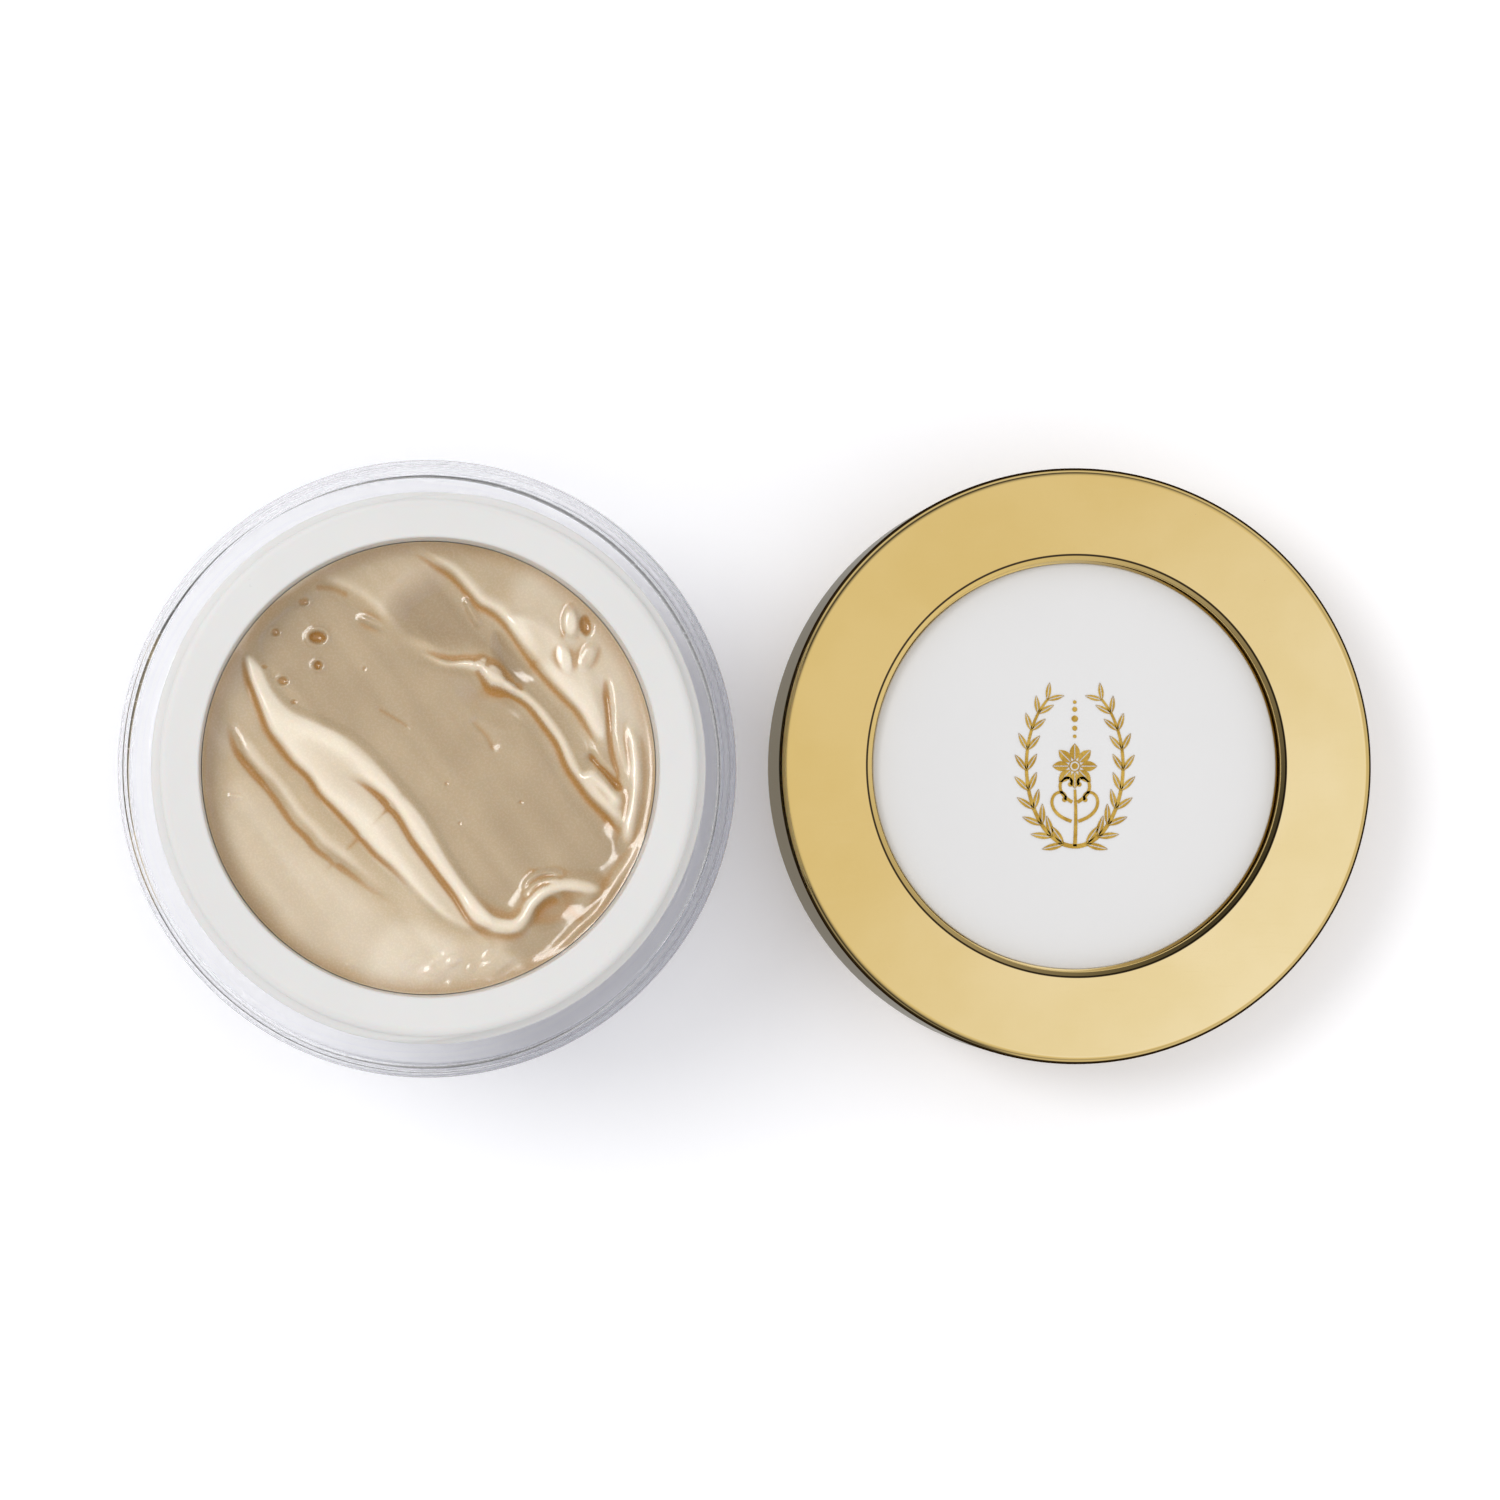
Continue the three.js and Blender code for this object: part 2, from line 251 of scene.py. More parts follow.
def facing(tree: bpy.types.NodeTree, direction: Any, way: Sequence[float]) -> bpy.types.NodeSocket:
    """Return how far a direction points another way, from -1 to 1."""
    return add(tree, "VectorMath", {0: direction, 1: way}, operation="DOT_PRODUCT").outputs["Value"]


def rgba(colour: Colour) -> tuple[float, float, float, float]:
    """Return a colour with full opacity."""
    return (*colour, 1.0)


class Effect(Enum):
    """Shared effects, each a node group with its inputs and their first values."""

    GRAIN = ("surface_grain", {"Size": 0.4, "Stretch": 1.0})
    SCUFFS = ("hairline_scuffs", {"Length": 6.0, "Amount": 0.3})
    DUST = ("dust_specks", {"Spacing": 2.5, "Speck": 0.05})
    WEAR = ("edge_wear", {"Start": 0.52, "Width": 0.06})

    def group(self) -> bpy.types.NodeTree:
        """Return the effect's node group, built the first time it is asked for.

        Returns:
            The node group.
        """
        name, inputs = self.value
        if name in bpy.data.node_groups:
            return bpy.data.node_groups[name]
        tree = bpy.data.node_groups.new(name, "ShaderNodeTree")
        for label, value in inputs.items():
            socket = tree.interface.new_socket(label, in_out="INPUT", socket_type="NodeSocketFloat")
            socket.default_value = value
        tree.interface.new_socket("Mask", in_out="OUTPUT", socket_type="NodeSocketFloat")
        given = tree.nodes.new("NodeGroupInput")
        result = tree.nodes.new("NodeGroupOutput")
        builders = {"GRAIN": grain_mask, "SCUFFS": scuff_mask, "DUST": dust_mask, "WEAR": wear_mask}
        tree.links.new(builders[self.name](tree, given), result.inputs["Mask"])
        return tree

    def place(self, tree: bpy.types.NodeTree, **values: Any) -> bpy.types.NodeSocket:
        """Place the effect in a material.

        Args:
            tree: The material's tree.
            **values: Values for the group's inputs.

        Returns:
            The group's mask.
        """
        return add(tree, "Group", values, node_tree=self.group()).outputs["Mask"]


def object_place(tree: bpy.types.NodeTree, size: Any) -> bpy.types.NodeSocket:
    """Return the place on the object, in steps of a size in millimetres.

    Args:
        tree: The tree to build in.
        size: The size of a step.

    Returns:
        The place.
    """
    place = add(tree, "TexCoord").outputs["Object"]
    per_metre = math_node(tree, "DIVIDE", 1 / MM, size)
    return add(tree, "VectorMath", {0: place, "Scale": per_metre}, operation="SCALE").outputs[0]


def grain_mask(tree: bpy.types.NodeTree, given: bpy.types.Node) -> bpy.types.NodeSocket:
    """Build soft, fine unevenness that may be stretched upright.

    Args:
        tree: The tree to build in.
        given: The group's input node.

    Returns:
        The effect's mask.
    """
    place = object_place(tree, given.outputs["Size"])
    squash = math_node(tree, "DIVIDE", 1.0, given.outputs["Stretch"])
    factor = add(tree, "CombineXYZ", {"X": 1.0, "Y": 1.0, "Z": squash}).outputs[0]
    place = add(tree, "VectorMath", {0: place, 1: factor}, operation="MULTIPLY").outputs[0]
    return add(tree, "TexNoise", {"Vector": place, "Scale": 1.0, "Detail": 3.0}).outputs[0]


def scuff_mask(tree: bpy.types.NodeTree, given: bpy.types.Node) -> bpy.types.NodeSocket:
    """Build sparse hairline scuffs in two crossing directions.

    Args:
        tree: The tree to build in.
        given: The group's input node.

    Returns:
        The effect's mask.
    """
    place = object_place(tree, given.outputs["Length"])
    lines = []
    for turn, thinness in ((0.5, 26.0), (-0.9, 34.0)):
        settings = {"Vector": place, "Rotation": (0.0, 0.0, turn), "Scale": (1.0, thinness, 1.0)}
        stretched = add(tree, "Mapping", settings).outputs[0]
        noise = add(tree, "TexNoise", {"Vector": stretched, "Scale": 1.0, "Detail": 1.0}).outputs[0]
        lines.append(remapped(tree, noise, 0.66, 0.74))
    both = math_node(tree, "MAXIMUM", *lines)
    return math_node(tree, "MULTIPLY", both, given.outputs["Amount"])


def dust_mask(tree: bpy.types.NodeTree, given: bpy.types.Node) -> bpy.types.NodeSocket:
    """Build small round specks, no more than one to each cell.

    Args:
        tree: The tree to build in.
        given: The group's input node.

    Returns:
        The effect's mask.
    """
    place = object_place(tree, given.outputs["Spacing"])
    cells = add(tree, "TexVoronoi", {"Vector": place, "Scale": 1.0})
    inside = math_node(tree, "LESS_THAN", cells.outputs["Distance"], given.outputs["Speck"])
    chance = add(tree, "SeparateColor", {0: cells.outputs["Color"]}).outputs[0]
    return math_node(tree, "MULTIPLY", inside, math_node(tree, "GREATER_THAN", chance, 0.55))


def wear_mask(tree: bpy.types.NodeTree, given: bpy.types.Node) -> bpy.types.NodeSocket:
    """Build a mask of outward edges, broken up by fine noise.

    Args:
        tree: The tree to build in.
        given: The group's input node.

    Returns:
        The effect's mask.
    """
    pointed = add(tree, "NewGeometry").outputs["Pointiness"]
    place = object_place(tree, 0.8)
    noise = add(tree, "TexNoise", {"Vector": place, "Scale": 1.0, "Detail": 3.0}).outputs[0]
    raised = math_node(tree, "SUBTRACT", pointed, given.outputs["Start"])
    share = math_node(tree, "DIVIDE", raised, given.outputs["Width"])
    return math_node(tree, "MULTIPLY", add(tree, "Clamp", {0: share}).outputs[0], noise)


# ---- Finishes -------------------------------------------------------------------------------------


@dataclass(frozen=True)
class Finish:
    """A finish: its name, its material slot, its main colour and how rough it is."""

    name: str
    slot: str
    colour: Colour
    roughness: float

    def material(self) -> bpy.types.Material:
        """Return the finish's material, built the first time it is asked for.

        Returns:
            The material.
        """
        if self.name in bpy.data.materials:
            return bpy.data.materials[self.name]
        made = bpy.data.materials.new(self.name)
        made.use_nodes = True
        tree = made.node_tree
        shader = tree.nodes["Principled BSDF"]
        shader.inputs["Base Color"].default_value = rgba(self.colour)
        shader.inputs["Roughness"].default_value = self.roughness
        self.dress(tree, shader)
        return made

    def dress(self, tree: bpy.types.NodeTree, shader: bpy.types.Node) -> None:
        """Add the finish's own detail to its shader."""

    def bump(self, tree: bpy.types.NodeTree, shader: bpy.types.Node, height: Any, depth: float) -> None:
        """Feed a height in units of `depth` millimetres to the shader's normal."""
        values = {"Height": height, "Distance": depth * MM, "Strength": 1.0}
        tree.links.new(add(tree, "Bump", values).outputs[0], shader.inputs["Normal"])


@dataclass(frozen=True)
class ClearAcrylic(Finish):
    """Thick clear acrylic, polished, that lets the lamps' light through."""

    shadow_tint: Colour = (0.985, 0.985, 0.99)

    def dress(self, tree: bpy.types.NodeTree, shader: bpy.types.Node) -> None:
        """Add refraction, faint handling marks and a light shadow.

        Args:
            tree: The material's tree.
            shader: The material's shader.
        """
        shader.inputs["Transmission Weight"].default_value = 1.0
        shader.inputs["IOR"].default_value = 1.49
        scuffs = Effect.SCUFFS.place(tree, Length=7.0, Amount=0.10)
        dust = Effect.DUST.place(tree, Spacing=3.1, Speck=0.02)
        marks = math_node(tree, "ADD", scuffs, math_node(tree, "MULTIPLY", dust, 0.3))
        tree.links.new(math_node(tree, "ADD", marks, self.roughness), shader.inputs["Roughness"])
        self.bump(tree, shader, Effect.GRAIN.place(tree, Size=9.0, Stretch=1.5), 0.01)
        is_shadow = add(tree, "LightPath").outputs["Is Shadow Ray"]
        clear = add(tree, "BsdfTransparent", {"Color": rgba(self.shadow_tint)}).outputs[0]
        mixed = add(tree, "MixShader", {0: is_shadow, 1: shader.outputs[0], 2: clear}).outputs[0]
        tree.links.new(mixed, tree.nodes["Material Output"].inputs["Surface"])


@dataclass(frozen=True)
class WhitePlastic(Finish):
    """Moulded white plastic with a fine orange peel."""

    grain_size: float = 0.35
    grain_depth: float = 0.004

    def dress(self, tree: bpy.types.NodeTree, shader: bpy.types.Node) -> None:
        """Add a fine moulded grain, clouding, dust and worn edges.

        Args:
            tree: The material's tree.
            shader: The material's shader.
        """
        grain = Effect.GRAIN.place(tree, Size=self.grain_size, Stretch=1.0)
        cloud = Effect.GRAIN.place(tree, Size=11.0, Stretch=1.0)
        wear = Effect.WEAR.place(tree, Start=0.53, Width=0.08)
        dust = Effect.DUST.place(tree, Spacing=2.2, Speck=0.035)
        darker = tuple(0.93 * part for part in self.colour)
        colour = blended(tree, cloud, rgba(darker), rgba(self.colour))
        colour = blended(tree, math_node(tree, "MULTIPLY", dust, 0.25), colour, rgba((0.55, 0.53, 0.5)))
        tree.links.new(colour, shader.inputs["Base Color"])
        rough = remapped(tree, grain, 0.3, 0.7, self.roughness - 0.05, self.roughness + 0.07)
        rough = math_node(tree, "SUBTRACT", rough, math_node(tree, "MULTIPLY", wear, 0.12))
        tree.links.new(rough, shader.inputs["Roughness"])
        self.bump(tree, shader, grain, self.grain_depth)
        shader.inputs["Subsurface Weight"].default_value = 0.15
        shader.inputs["Subsurface Scale"].default_value = 0.6 * MM
        shader.inputs["IOR"].default_value = 1.49


@dataclass(frozen=True)
class CreamFinish(Finish):
    """A glossy, soft cosmetic cream, with painted shade in its creases, round its wall and in its scoops,
    painted light on its ridges, and some random tone.

    Attributes:
        painted_shade: Colour of the painted shade in its creases and round its wall.
        pale: Colour of its paler tone: random in part, painted light on ridges, and given on some patches.
        deep: Colour of its deeper tone: random in part, and painted shade in its scoops.
    """

    painted_shade: Colour = (0.4, 0.19, 0.035)
    pale: Colour = (0.8, 0.71, 0.58)
    deep: Colour = (0.33, 0.235, 0.135)

    def dress(self, tree: bpy.types.NodeTree, shader: bpy.types.Node) -> None:
        """Add random tone with painted shade in creases and scoops and painted light on ridges, soft depth,
        wet gloss and a fine pore bump.

        Args:
            tree: The material's tree.
            shader: The material's shader.
        """
        # The three attributes carry painted shade in creases and round the wall, and a paler and a deeper
        # tone, partly random and partly painted light on ridges and painted shade in scoops.
        creased, raised, deeper_tone_and_painted_shade = (
            add(tree, "Attribute", attribute_name=name).outputs["Fac"] for name in ("painted_shade", "pale", "deep")
        )
        cloud = Effect.GRAIN.place(tree, Size=3.5, Stretch=1.0)
        pores = Effect.GRAIN.place(tree, Size=0.22, Stretch=1.0)
        darker = tuple(0.93 * part for part in self.colour)
        colour = blended(tree, remapped(tree, cloud, 0.3, 0.7), rgba(darker), rgba(self.colour))
        colour = blended(tree, deeper_tone_and_painted_shade, colour, rgba(self.deep))
        colour = blended(tree, raised, colour, rgba(self.pale))
        colour = blended(tree, math_node(tree, "MULTIPLY", creased, 0.9), colour, rgba(self.painted_shade))
        tree.links.new(colour, shader.inputs["Base Color"])
        rough = remapped(tree, pores, 0.3, 0.7, self.roughness - 0.05, self.roughness + 0.08)
        tree.links.new(rough, shader.inputs["Roughness"])
        self.bump(tree, shader, pores, 0.012)
        shader.inputs["IOR"].default_value = 1.45
        shader.inputs["Subsurface Weight"].default_value = 0.35
        shader.inputs["Subsurface Radius"].default_value = (1.0, 0.55, 0.28)
        shader.inputs["Subsurface Scale"].default_value = 0.6 * MM
        shader.inputs["Coat Weight"].default_value = 0.6
        shader.inputs["Coat Roughness"].default_value = 0.1
        shader.inputs["Coat IOR"].default_value = 1.4


@dataclass(frozen=True)
class MirrorGold(Finish):
    """Vacuum-metallised gold: a mirror with thin dark lines at the edges of its top, which are painted
    reflections drawn in colour.

    Attributes:
        centre: Where the lid's axis stands.
        edges: Radius and half width of each painted reflection line.
        line: Colour of the painted reflection lines.
        line_rise: Heights between which the painted reflection lines fade in, so that only the top has them.
        grazing: Tint at a grazing angle, darker than the gold as painted shade in the side's reflection.
    """

    centre: Point = (0, 0)
    edges: tuple[Point, ...] = ()
    line: Colour = (0.06, 0.04, 0.02)
    line_rise: Point = (15.2, 15.6)
    grazing: Colour = (0.36, 0.31, 0.19)

    def dress(self, tree: bpy.types.NodeTree, shader: bpy.types.Node) -> None:
        """Add the dark painted reflection lines at the edges, faint cloudiness, scuffs and dust.

        Args:
            tree: The material's tree.
            shader: The material's shader.
        """
        shader.inputs["Metallic"].default_value = 1.0
        # Painted shade: a dark grazing tint darkens the gold's reflections at low angles, as on its side.
        shader.inputs["Specular Tint"].default_value = rgba(self.grazing)
        cloud = Effect.GRAIN.place(tree, Size=14.0, Stretch=1.0)
        deeper = tuple(part * scale for part, scale in zip(self.colour, (0.96, 0.94, 0.86)))
        colour = blended(tree, remapped(tree, cloud, 0.3, 0.7), rgba(deeper), rgba(self.colour))
        # Painted reflections: dark lines at the edges of the top.
        colour = blended(tree, self.painted_reflection_lines(tree), colour, rgba(self.line))
        tree.links.new(colour, shader.inputs["Base Color"])
        scuffs = Effect.SCUFFS.place(tree, Length=5.0, Amount=0.05)
        wear = Effect.WEAR.place(tree, Start=0.55, Width=0.2)
        dust = Effect.DUST.place(tree, Spacing=2.6, Speck=0.02)
        marks = math_node(tree, "ADD", scuffs, math_node(tree, "MULTIPLY", dust, 0.25))
        marks = math_node(tree, "ADD", marks, math_node(tree, "MULTIPLY", wear, 0.04))
        tree.links.new(math_node(tree, "ADD", marks, self.roughness), shader.inputs["Roughness"])
        self.bump(tree, shader, Effect.GRAIN.place(tree, Size=6.0, Stretch=1.0), 0.004)

    def painted_reflection_lines(self, tree: bpy.types.NodeTree) -> bpy.types.NodeSocket:
        """Return a mask of the dark painted reflection lines, with the radius and half width of each from
        `edges`.

        Args:
            tree: The tree to build in.

        Returns:
            The mask, 1 on the lines.
        """
        place = add(tree, "TexCoord").outputs["Object"]
        height = add(tree, "SeparateXYZ", {0: place}).outputs["Z"]
        lines = []
        axis = (self.centre[0] * MM, self.centre[1] * MM, 0.0)
        for ring, half_width in self.edges:
            away = add(tree, "VectorMath", {0: place, 1: axis}, operation="SUBTRACT").outputs[0]
            flat = add(tree, "VectorMath", {0: away, 1: (1.0, 1.0, 0.0)}, operation="MULTIPLY").outputs[0]
            radius = add(tree, "VectorMath", {0: flat}, operation="LENGTH").outputs["Value"]
            offset = math_node(tree, "ABSOLUTE", math_node(tree, "SUBTRACT", radius, ring * MM))
            lines.append(remapped(tree, offset, half_width * MM, 0.7 * half_width * MM))
        both = math_node(tree, "MAXIMUM", *lines)
        on_top = remapped(tree, height, *(rise * MM for rise in self.line_rise))
        return math_node(tree, "MULTIPLY", both, on_top)


@dataclass(frozen=True)
class SatinWhite(Finish):
    """A white sheet with a fine satin face."""

    def dress(self, tree: bpy.types.NodeTree, shader: bpy.types.Node) -> None:
        """Add the satin tooth, scuffs and dust.

        Args:
            tree: The material's tree.
            shader: The material's shader.
        """
        tooth = Effect.GRAIN.place(tree, Size=0.12, Stretch=1.0)
        cloud = Effect.GRAIN.place(tree, Size=9.0, Stretch=1.0)
        dust = Effect.DUST.place(tree, Spacing=2.8, Speck=0.02)
        scuffs = Effect.SCUFFS.place(tree, Length=5.0, Amount=0.08)
        darker = tuple(0.975 * part for part in self.colour)
        colour = blended(tree, cloud, rgba(darker), rgba(self.colour))
        colour = blended(tree, math_node(tree, "MULTIPLY", dust, 0.3), colour, rgba((0.5, 0.5, 0.5)))
        tree.links.new(colour, shader.inputs["Base Color"])
        rough = remapped(tree, tooth, 0.3, 0.7, self.roughness - 0.04, self.roughness + 0.06)
        tree.links.new(math_node(tree, "SUBTRACT", rough, scuffs), shader.inputs["Roughness"])
        self.bump(tree, shader, tooth, 0.002)


@dataclass(frozen=True)
class GoldFoil(Finish):
    """Hot-stamped gold foil, slightly crinkled."""

    def dress(self, tree: bpy.types.NodeTree, shader: bpy.types.Node) -> None:
        """Add the foil's crinkle and its patchy tone.

        Args:
            tree: The material's tree.
            shader: The material's shader.
        """
        shader.inputs["Metallic"].default_value = 1.0
        crinkle = Effect.GRAIN.place(tree, Size=0.25, Stretch=1.0)
        cloud = Effect.GRAIN.place(tree, Size=1.6, Stretch=1.0)
        deeper = tuple(part * scale for part, scale in zip(self.colour, (0.8, 0.74, 0.6)))
        colour = blended(tree, remapped(tree, cloud, 0.35, 0.65), rgba(deeper), rgba(self.colour))
        tree.links.new(colour, shader.inputs["Base Color"])
        rough = remapped(tree, crinkle, 0.3, 0.7, self.roughness - 0.1, self.roughness + 0.15)
        tree.links.new(rough, shader.inputs["Roughness"])
        self.bump(tree, shader, crinkle, 0.012)


@dataclass(frozen=True)
class Foam(Finish):
    """Fine closed-cell foam, also used for the soft adhesive sheet."""

    cell: float = 0.3

    def dress(self, tree: bpy.types.NodeTree, shader: bpy.types.Node) -> None:
        """Add the cells as small dents, and a faint mottle.

        Args:
            tree: The material's tree.
            shader: The material's shader.
        """
        place = object_place(tree, self.cell)
        cells = add(tree, "TexVoronoi", {"Vector": place, "Scale": 1.0}).outputs["Distance"]
        cloud = Effect.GRAIN.place(tree, Size=2.0, Stretch=1.0)
        darker = tuple(0.9 * part for part in self.colour)
        tree.links.new(blended(tree, cloud, rgba(darker), rgba(self.colour)), shader.inputs["Base Color"])
        rough = remapped(tree, cells, 0.0, 1.0, self.roughness - 0.1, self.roughness + 0.1)
        tree.links.new(rough, shader.inputs["Roughness"])
        self.bump(tree, shader, cells, 0.05)


@dataclass(frozen=True)
class Paper(Finish):
    """The studio floor: pale paper that glows a little and looks darker in mirrors."""

    glow: Colour = (0.12, 0.12, 0.15)
    mirrored: Colour = (0.42, 0.41, 0.38)

    def dress(self, tree: bpy.types.NodeTree, shader: bpy.types.Node) -> None:
        """Lift the paper's shadows and darken it to mirror-like surfaces.

        Args:
            tree: The material's tree.
            shader: The material's shader.
        """
        shader.inputs["Specular IOR Level"].default_value = 0.0
        shader.inputs["Emission Color"].default_value = rgba(self.glow)
        shader.inputs["Emission Strength"].default_value = 1.0
        path = add(tree, "LightPath").outputs
        is_mirrored = math_node(tree, "SUBTRACT", path["Is Glossy Ray"], path["Is Transmission Ray"])
        dark = add(tree, "Emission", {"Color": rgba(self.mirrored)}).outputs[0]
        mixed = add(tree, "MixShader", {0: is_mirrored, 1: shader.outputs[0], 2: dark}).outputs[0]
        tree.links.new(mixed, tree.nodes["Material Output"].inputs["Surface"])


# ---- Thread ---------------------------------------------------------------------------------------


@dataclass(frozen=True)
class Thread:
    """A two-start thread: rounded beads that climb round the wall and fade at both ends.

    Attributes:
        bottom: Height of each start's lower end.
        start: Angle of the first start's lower end, in degrees.
        turn: How far each start runs, in degrees.
        depth: How far the bead stands off the wall.
        half_width: Half of the bead's width up the wall.
        lead: Rise in one full turn.
        starts: Number of starts.
        fade: Degrees over which each end sinks away.
    """

    bottom: float
    start: float
    turn: float
    depth: float
    half_width: float
    lead: float = 6.0
    starts: int = 2
    fade: float = 28.0

    def __call__(self, angle: np.ndarray, height: np.ndarray) -> np.ndarray:
        """Return how far the bead stands off the wall at each (angle, height).

        Args:
            angle: Angles round the axis, in radians.
            height: Heights.

        Returns:
            How far it stands off, in millimetres.
        """
        off = np.zeros_like(height)
        for start in range(self.starts):
            first = self.start + 360 * start / self.starts
            run = np.mod(np.degrees(angle) - first, 360)
            for lap in (0, 360):
                along = run + lap
                ends = np.clip(np.minimum(along, self.turn - along) / self.fade, 0, 1)
                centre = self.bottom + self.lead * along / 360
                across = np.clip(np.abs(height - centre) / self.half_width, 0, 1)
                bead = np.sqrt(1 - across**2) * (1 - 0.35 * across**4)
                off = np.maximum(off, self.depth * bead * np.sin(0.5 * np.pi * ends))
        return off


# ---- Jar ------------------------------------------------------------------------------------------


@dataclass
class ClearJar:
    """The thick clear outer jar with the well that holds the cup."""

    finish: Finish
    base_round: float = 0.6
    shoulder_round: float = 0.5
    well_mouth: float = 27.8
    well_collar: float = 4.5
    well_body: float = 27.6
    well_foot: float = 26.8
    well_corner: float = 5.0
    base_thickness: float = 9.0
    step_lines: tuple[tuple[float, float, float], ...] = ((31.8, 0.16, 0.14), (31.15, 0.14, 0.1))

    def outline(self, radius: float, top: float) -> Outline:
        """Draw the jar's section.

        Args:
            radius: The jar's outer radius.
            top: Height of its shoulder.

        Returns:
            The half section.
        """
        base, edge = self.base_round, self.shoulder_round
        corner = (self.well_foot - self.well_corner, self.base_thickness + self.well_corner)
        return (
            Outline()
            .to(0, 0)
            .arc((radius - base, base), base, -90, 0)
            .arc((radius - edge, top - edge), edge, 0, 90)
            .grooves(self.step_lines, top)
            .arc((self.well_mouth + 0.15, top - 0.15), 0.15, 90, 180, 4)
            .to(self.well_mouth, top - self.well_collar)
            .to(self.well_body, top - self.well_collar)
            .arc(corner, self.well_corner, 0, -90, 16)
            .to(0, self.base_thickness)
        )

    def build(self) -> bpy.types.Object:
        """Build the jar, dress it and put it on its body.

        Returns:
            The finished piece.
        """
        _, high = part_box("outer_jar")
        jar = turned("outer_jar_clear", self.outline(high.x / MM, high.z / MM))
        return fitted(jar, self.finish, "jar", "outer_jar")


def fitted(piece: bpy.types.Object, finish: Finish, body: str, node: str) -> bpy.types.Object:
    """Dress a piece, put it on its body and let it stand for its CAD node.

    Args:
        piece: The finished mesh.
        finish: What it is made of.
        body: The CAD body it rides on.
        node: The CAD node it replaces.

    Returns:
        The piece.
    """
    piece.data.materials.append(finish.material())
    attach(piece, body)
    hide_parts(node)
    LOG.info("%s: %d faces on body %s", piece.name, len(piece.data.polygons), body)
    return piece


@dataclass
class WhiteCup:
    """The white inner cup with its threaded neck."""

    finish: Finish
    rim_round: float = 1.0
    mouth_round: float = 0.3
    mouth: float = 23.9
    neck: float = 28.0
    flange: float = 28.6
    flange_thickness: float = 0.8
    shoulder: float = 39.0
    collar: float = 27.6
    collar_depth: float = 4.0
    body: float = 25.9
    foot: float = 25.2
    underside: float = 9.8
    floor: float = 11.4
    inner_foot: float = 23.1
    corner: float = 6.0
    thread: Thread = Thread(bottom=41.4, start=-170, turn=270, depth=0.95, half_width=1.0)
    thread_rows: int = 56

    def wall_radius(self, height: Any, top: float) -> Any:
        """Return the radius of the cup's inside at a height above its corner.

        Args:
            height: The height, or several.
            top: Height of the rim.

        Returns:
            The radius at each height.
        """
        low = self.floor + self.corner
        widening = (self.mouth - self.inner_foot) * (height - low)
        return self.inner_foot + widening / (top - self.mouth_round - low)

    def inside(self, outline: Outline, gap: float) -> Outline:
        """Draw the cup's inside below the wall, drawn in by a gap.

        Args:
            outline: The outline to go on drawing.
            gap: How far inside the cup it is drawn.

        Returns:
            The outline.
        """
        centre = (self.inner_foot - self.corner, self.floor + self.corner)
        outline.arc(centre, self.corner - gap, 0, -90, 14)
        return outline.to(0, self.floor + gap)

    def outline(self, top: float) -> Outline:
        """Draw the cup's section up to the height of its rim.

        Args:
            top: Height of the rim.

        Returns:
            The half section.
        """
        seat, crown = self.shoulder + self.flange_thickness, top - self.rim_round
        path = Outline().to(0, self.underside)
        path.arc((self.foot - self.corner, self.underside + self.corner), self.corner, -90, 0, 14)
        path.to(self.body, self.shoulder - self.collar_depth)
        path.to(self.collar, self.shoulder - self.collar_depth)
        path.to(self.collar, self.shoulder)
        path.arc((self.flange - 0.12, self.shoulder + 0.12), 0.12, -90, 0, 3)
        path.arc((self.flange - 0.25, seat - 0.25), 0.25, 0, 90, 5)
        path.arc((self.neck + 0.2, seat + 0.2), 0.2, -90, -180, 4)
        for height in np.linspace(seat + 0.3, crown, self.thread_rows)[:-1]:
            path.to(self.neck, float(height))
        path.arc((self.neck - self.rim_round, crown), self.rim_round, 0, 90, 12)
        path.arc((self.mouth + self.mouth_round, top - self.mouth_round), self.mouth_round, 90, 180, 8)
        return self.inside(path, 0)

    def build(self) -> bpy.types.Object:
        """Build the cup, dress it and put it on its body.

        Returns:
            The finished piece.
        """
        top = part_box("inner_cup")[1].z / MM
        seat, crown = self.shoulder + self.flange_thickness + 0.25, top - self.rim_round

        def swell(angle: np.ndarray, height: np.ndarray) -> np.ndarray:
            """Return the thread's rise, on the rows of the neck only.

            Args:
                angle: Angles round the axis, in radians.
                height: Heights.

            Returns:
                What is added to the radius.
            """
            rows = self.outline(top).supported()
            on_wall = np.abs(rows[:, 0] - self.neck) < ON_WALL
            on_neck = on_wall & (rows[:, 1] > seat) & (rows[:, 1] < crown + 1e-3)
            return self.thread(angle, height) * on_neck[:, None]

        cup = turned("inner_cup_white", self.outline(top), swell=swell)
        return fitted(cup, self.finish, "jar", "inner_cup")


# ---- Cream ----------------------------------------------------------------------------------------


class Mark(Enum):
    """Kinds of mark that a spatula or finger leaves in the cream."""

    FOLD = "fold"  # a crease with a raised lip on the left of its direction
    RIDGE = "ridge"
    GROOVE = "groove"


def curve_through(points: np.ndarray, steps: int = 5) -> np.ndarray:
    """Return a smooth curve from the second of a row of points to the last but one.

    Args:
        points: The points, in order.
        steps: Pieces between two points.

    Returns:
        The curve's points.
    """
    made = []
    for a, b, c, d in zip(points, points[1:], points[2:], points[3:]):
        for t in np.arange(steps) / steps:
            bend = 2 * a - 5 * b + 4 * c - d + (3 * b - a - 3 * c + d) * t
            made.append(b + 0.5 * t * (c - a + bend * t))
    return np.array([*made, points[-2]])


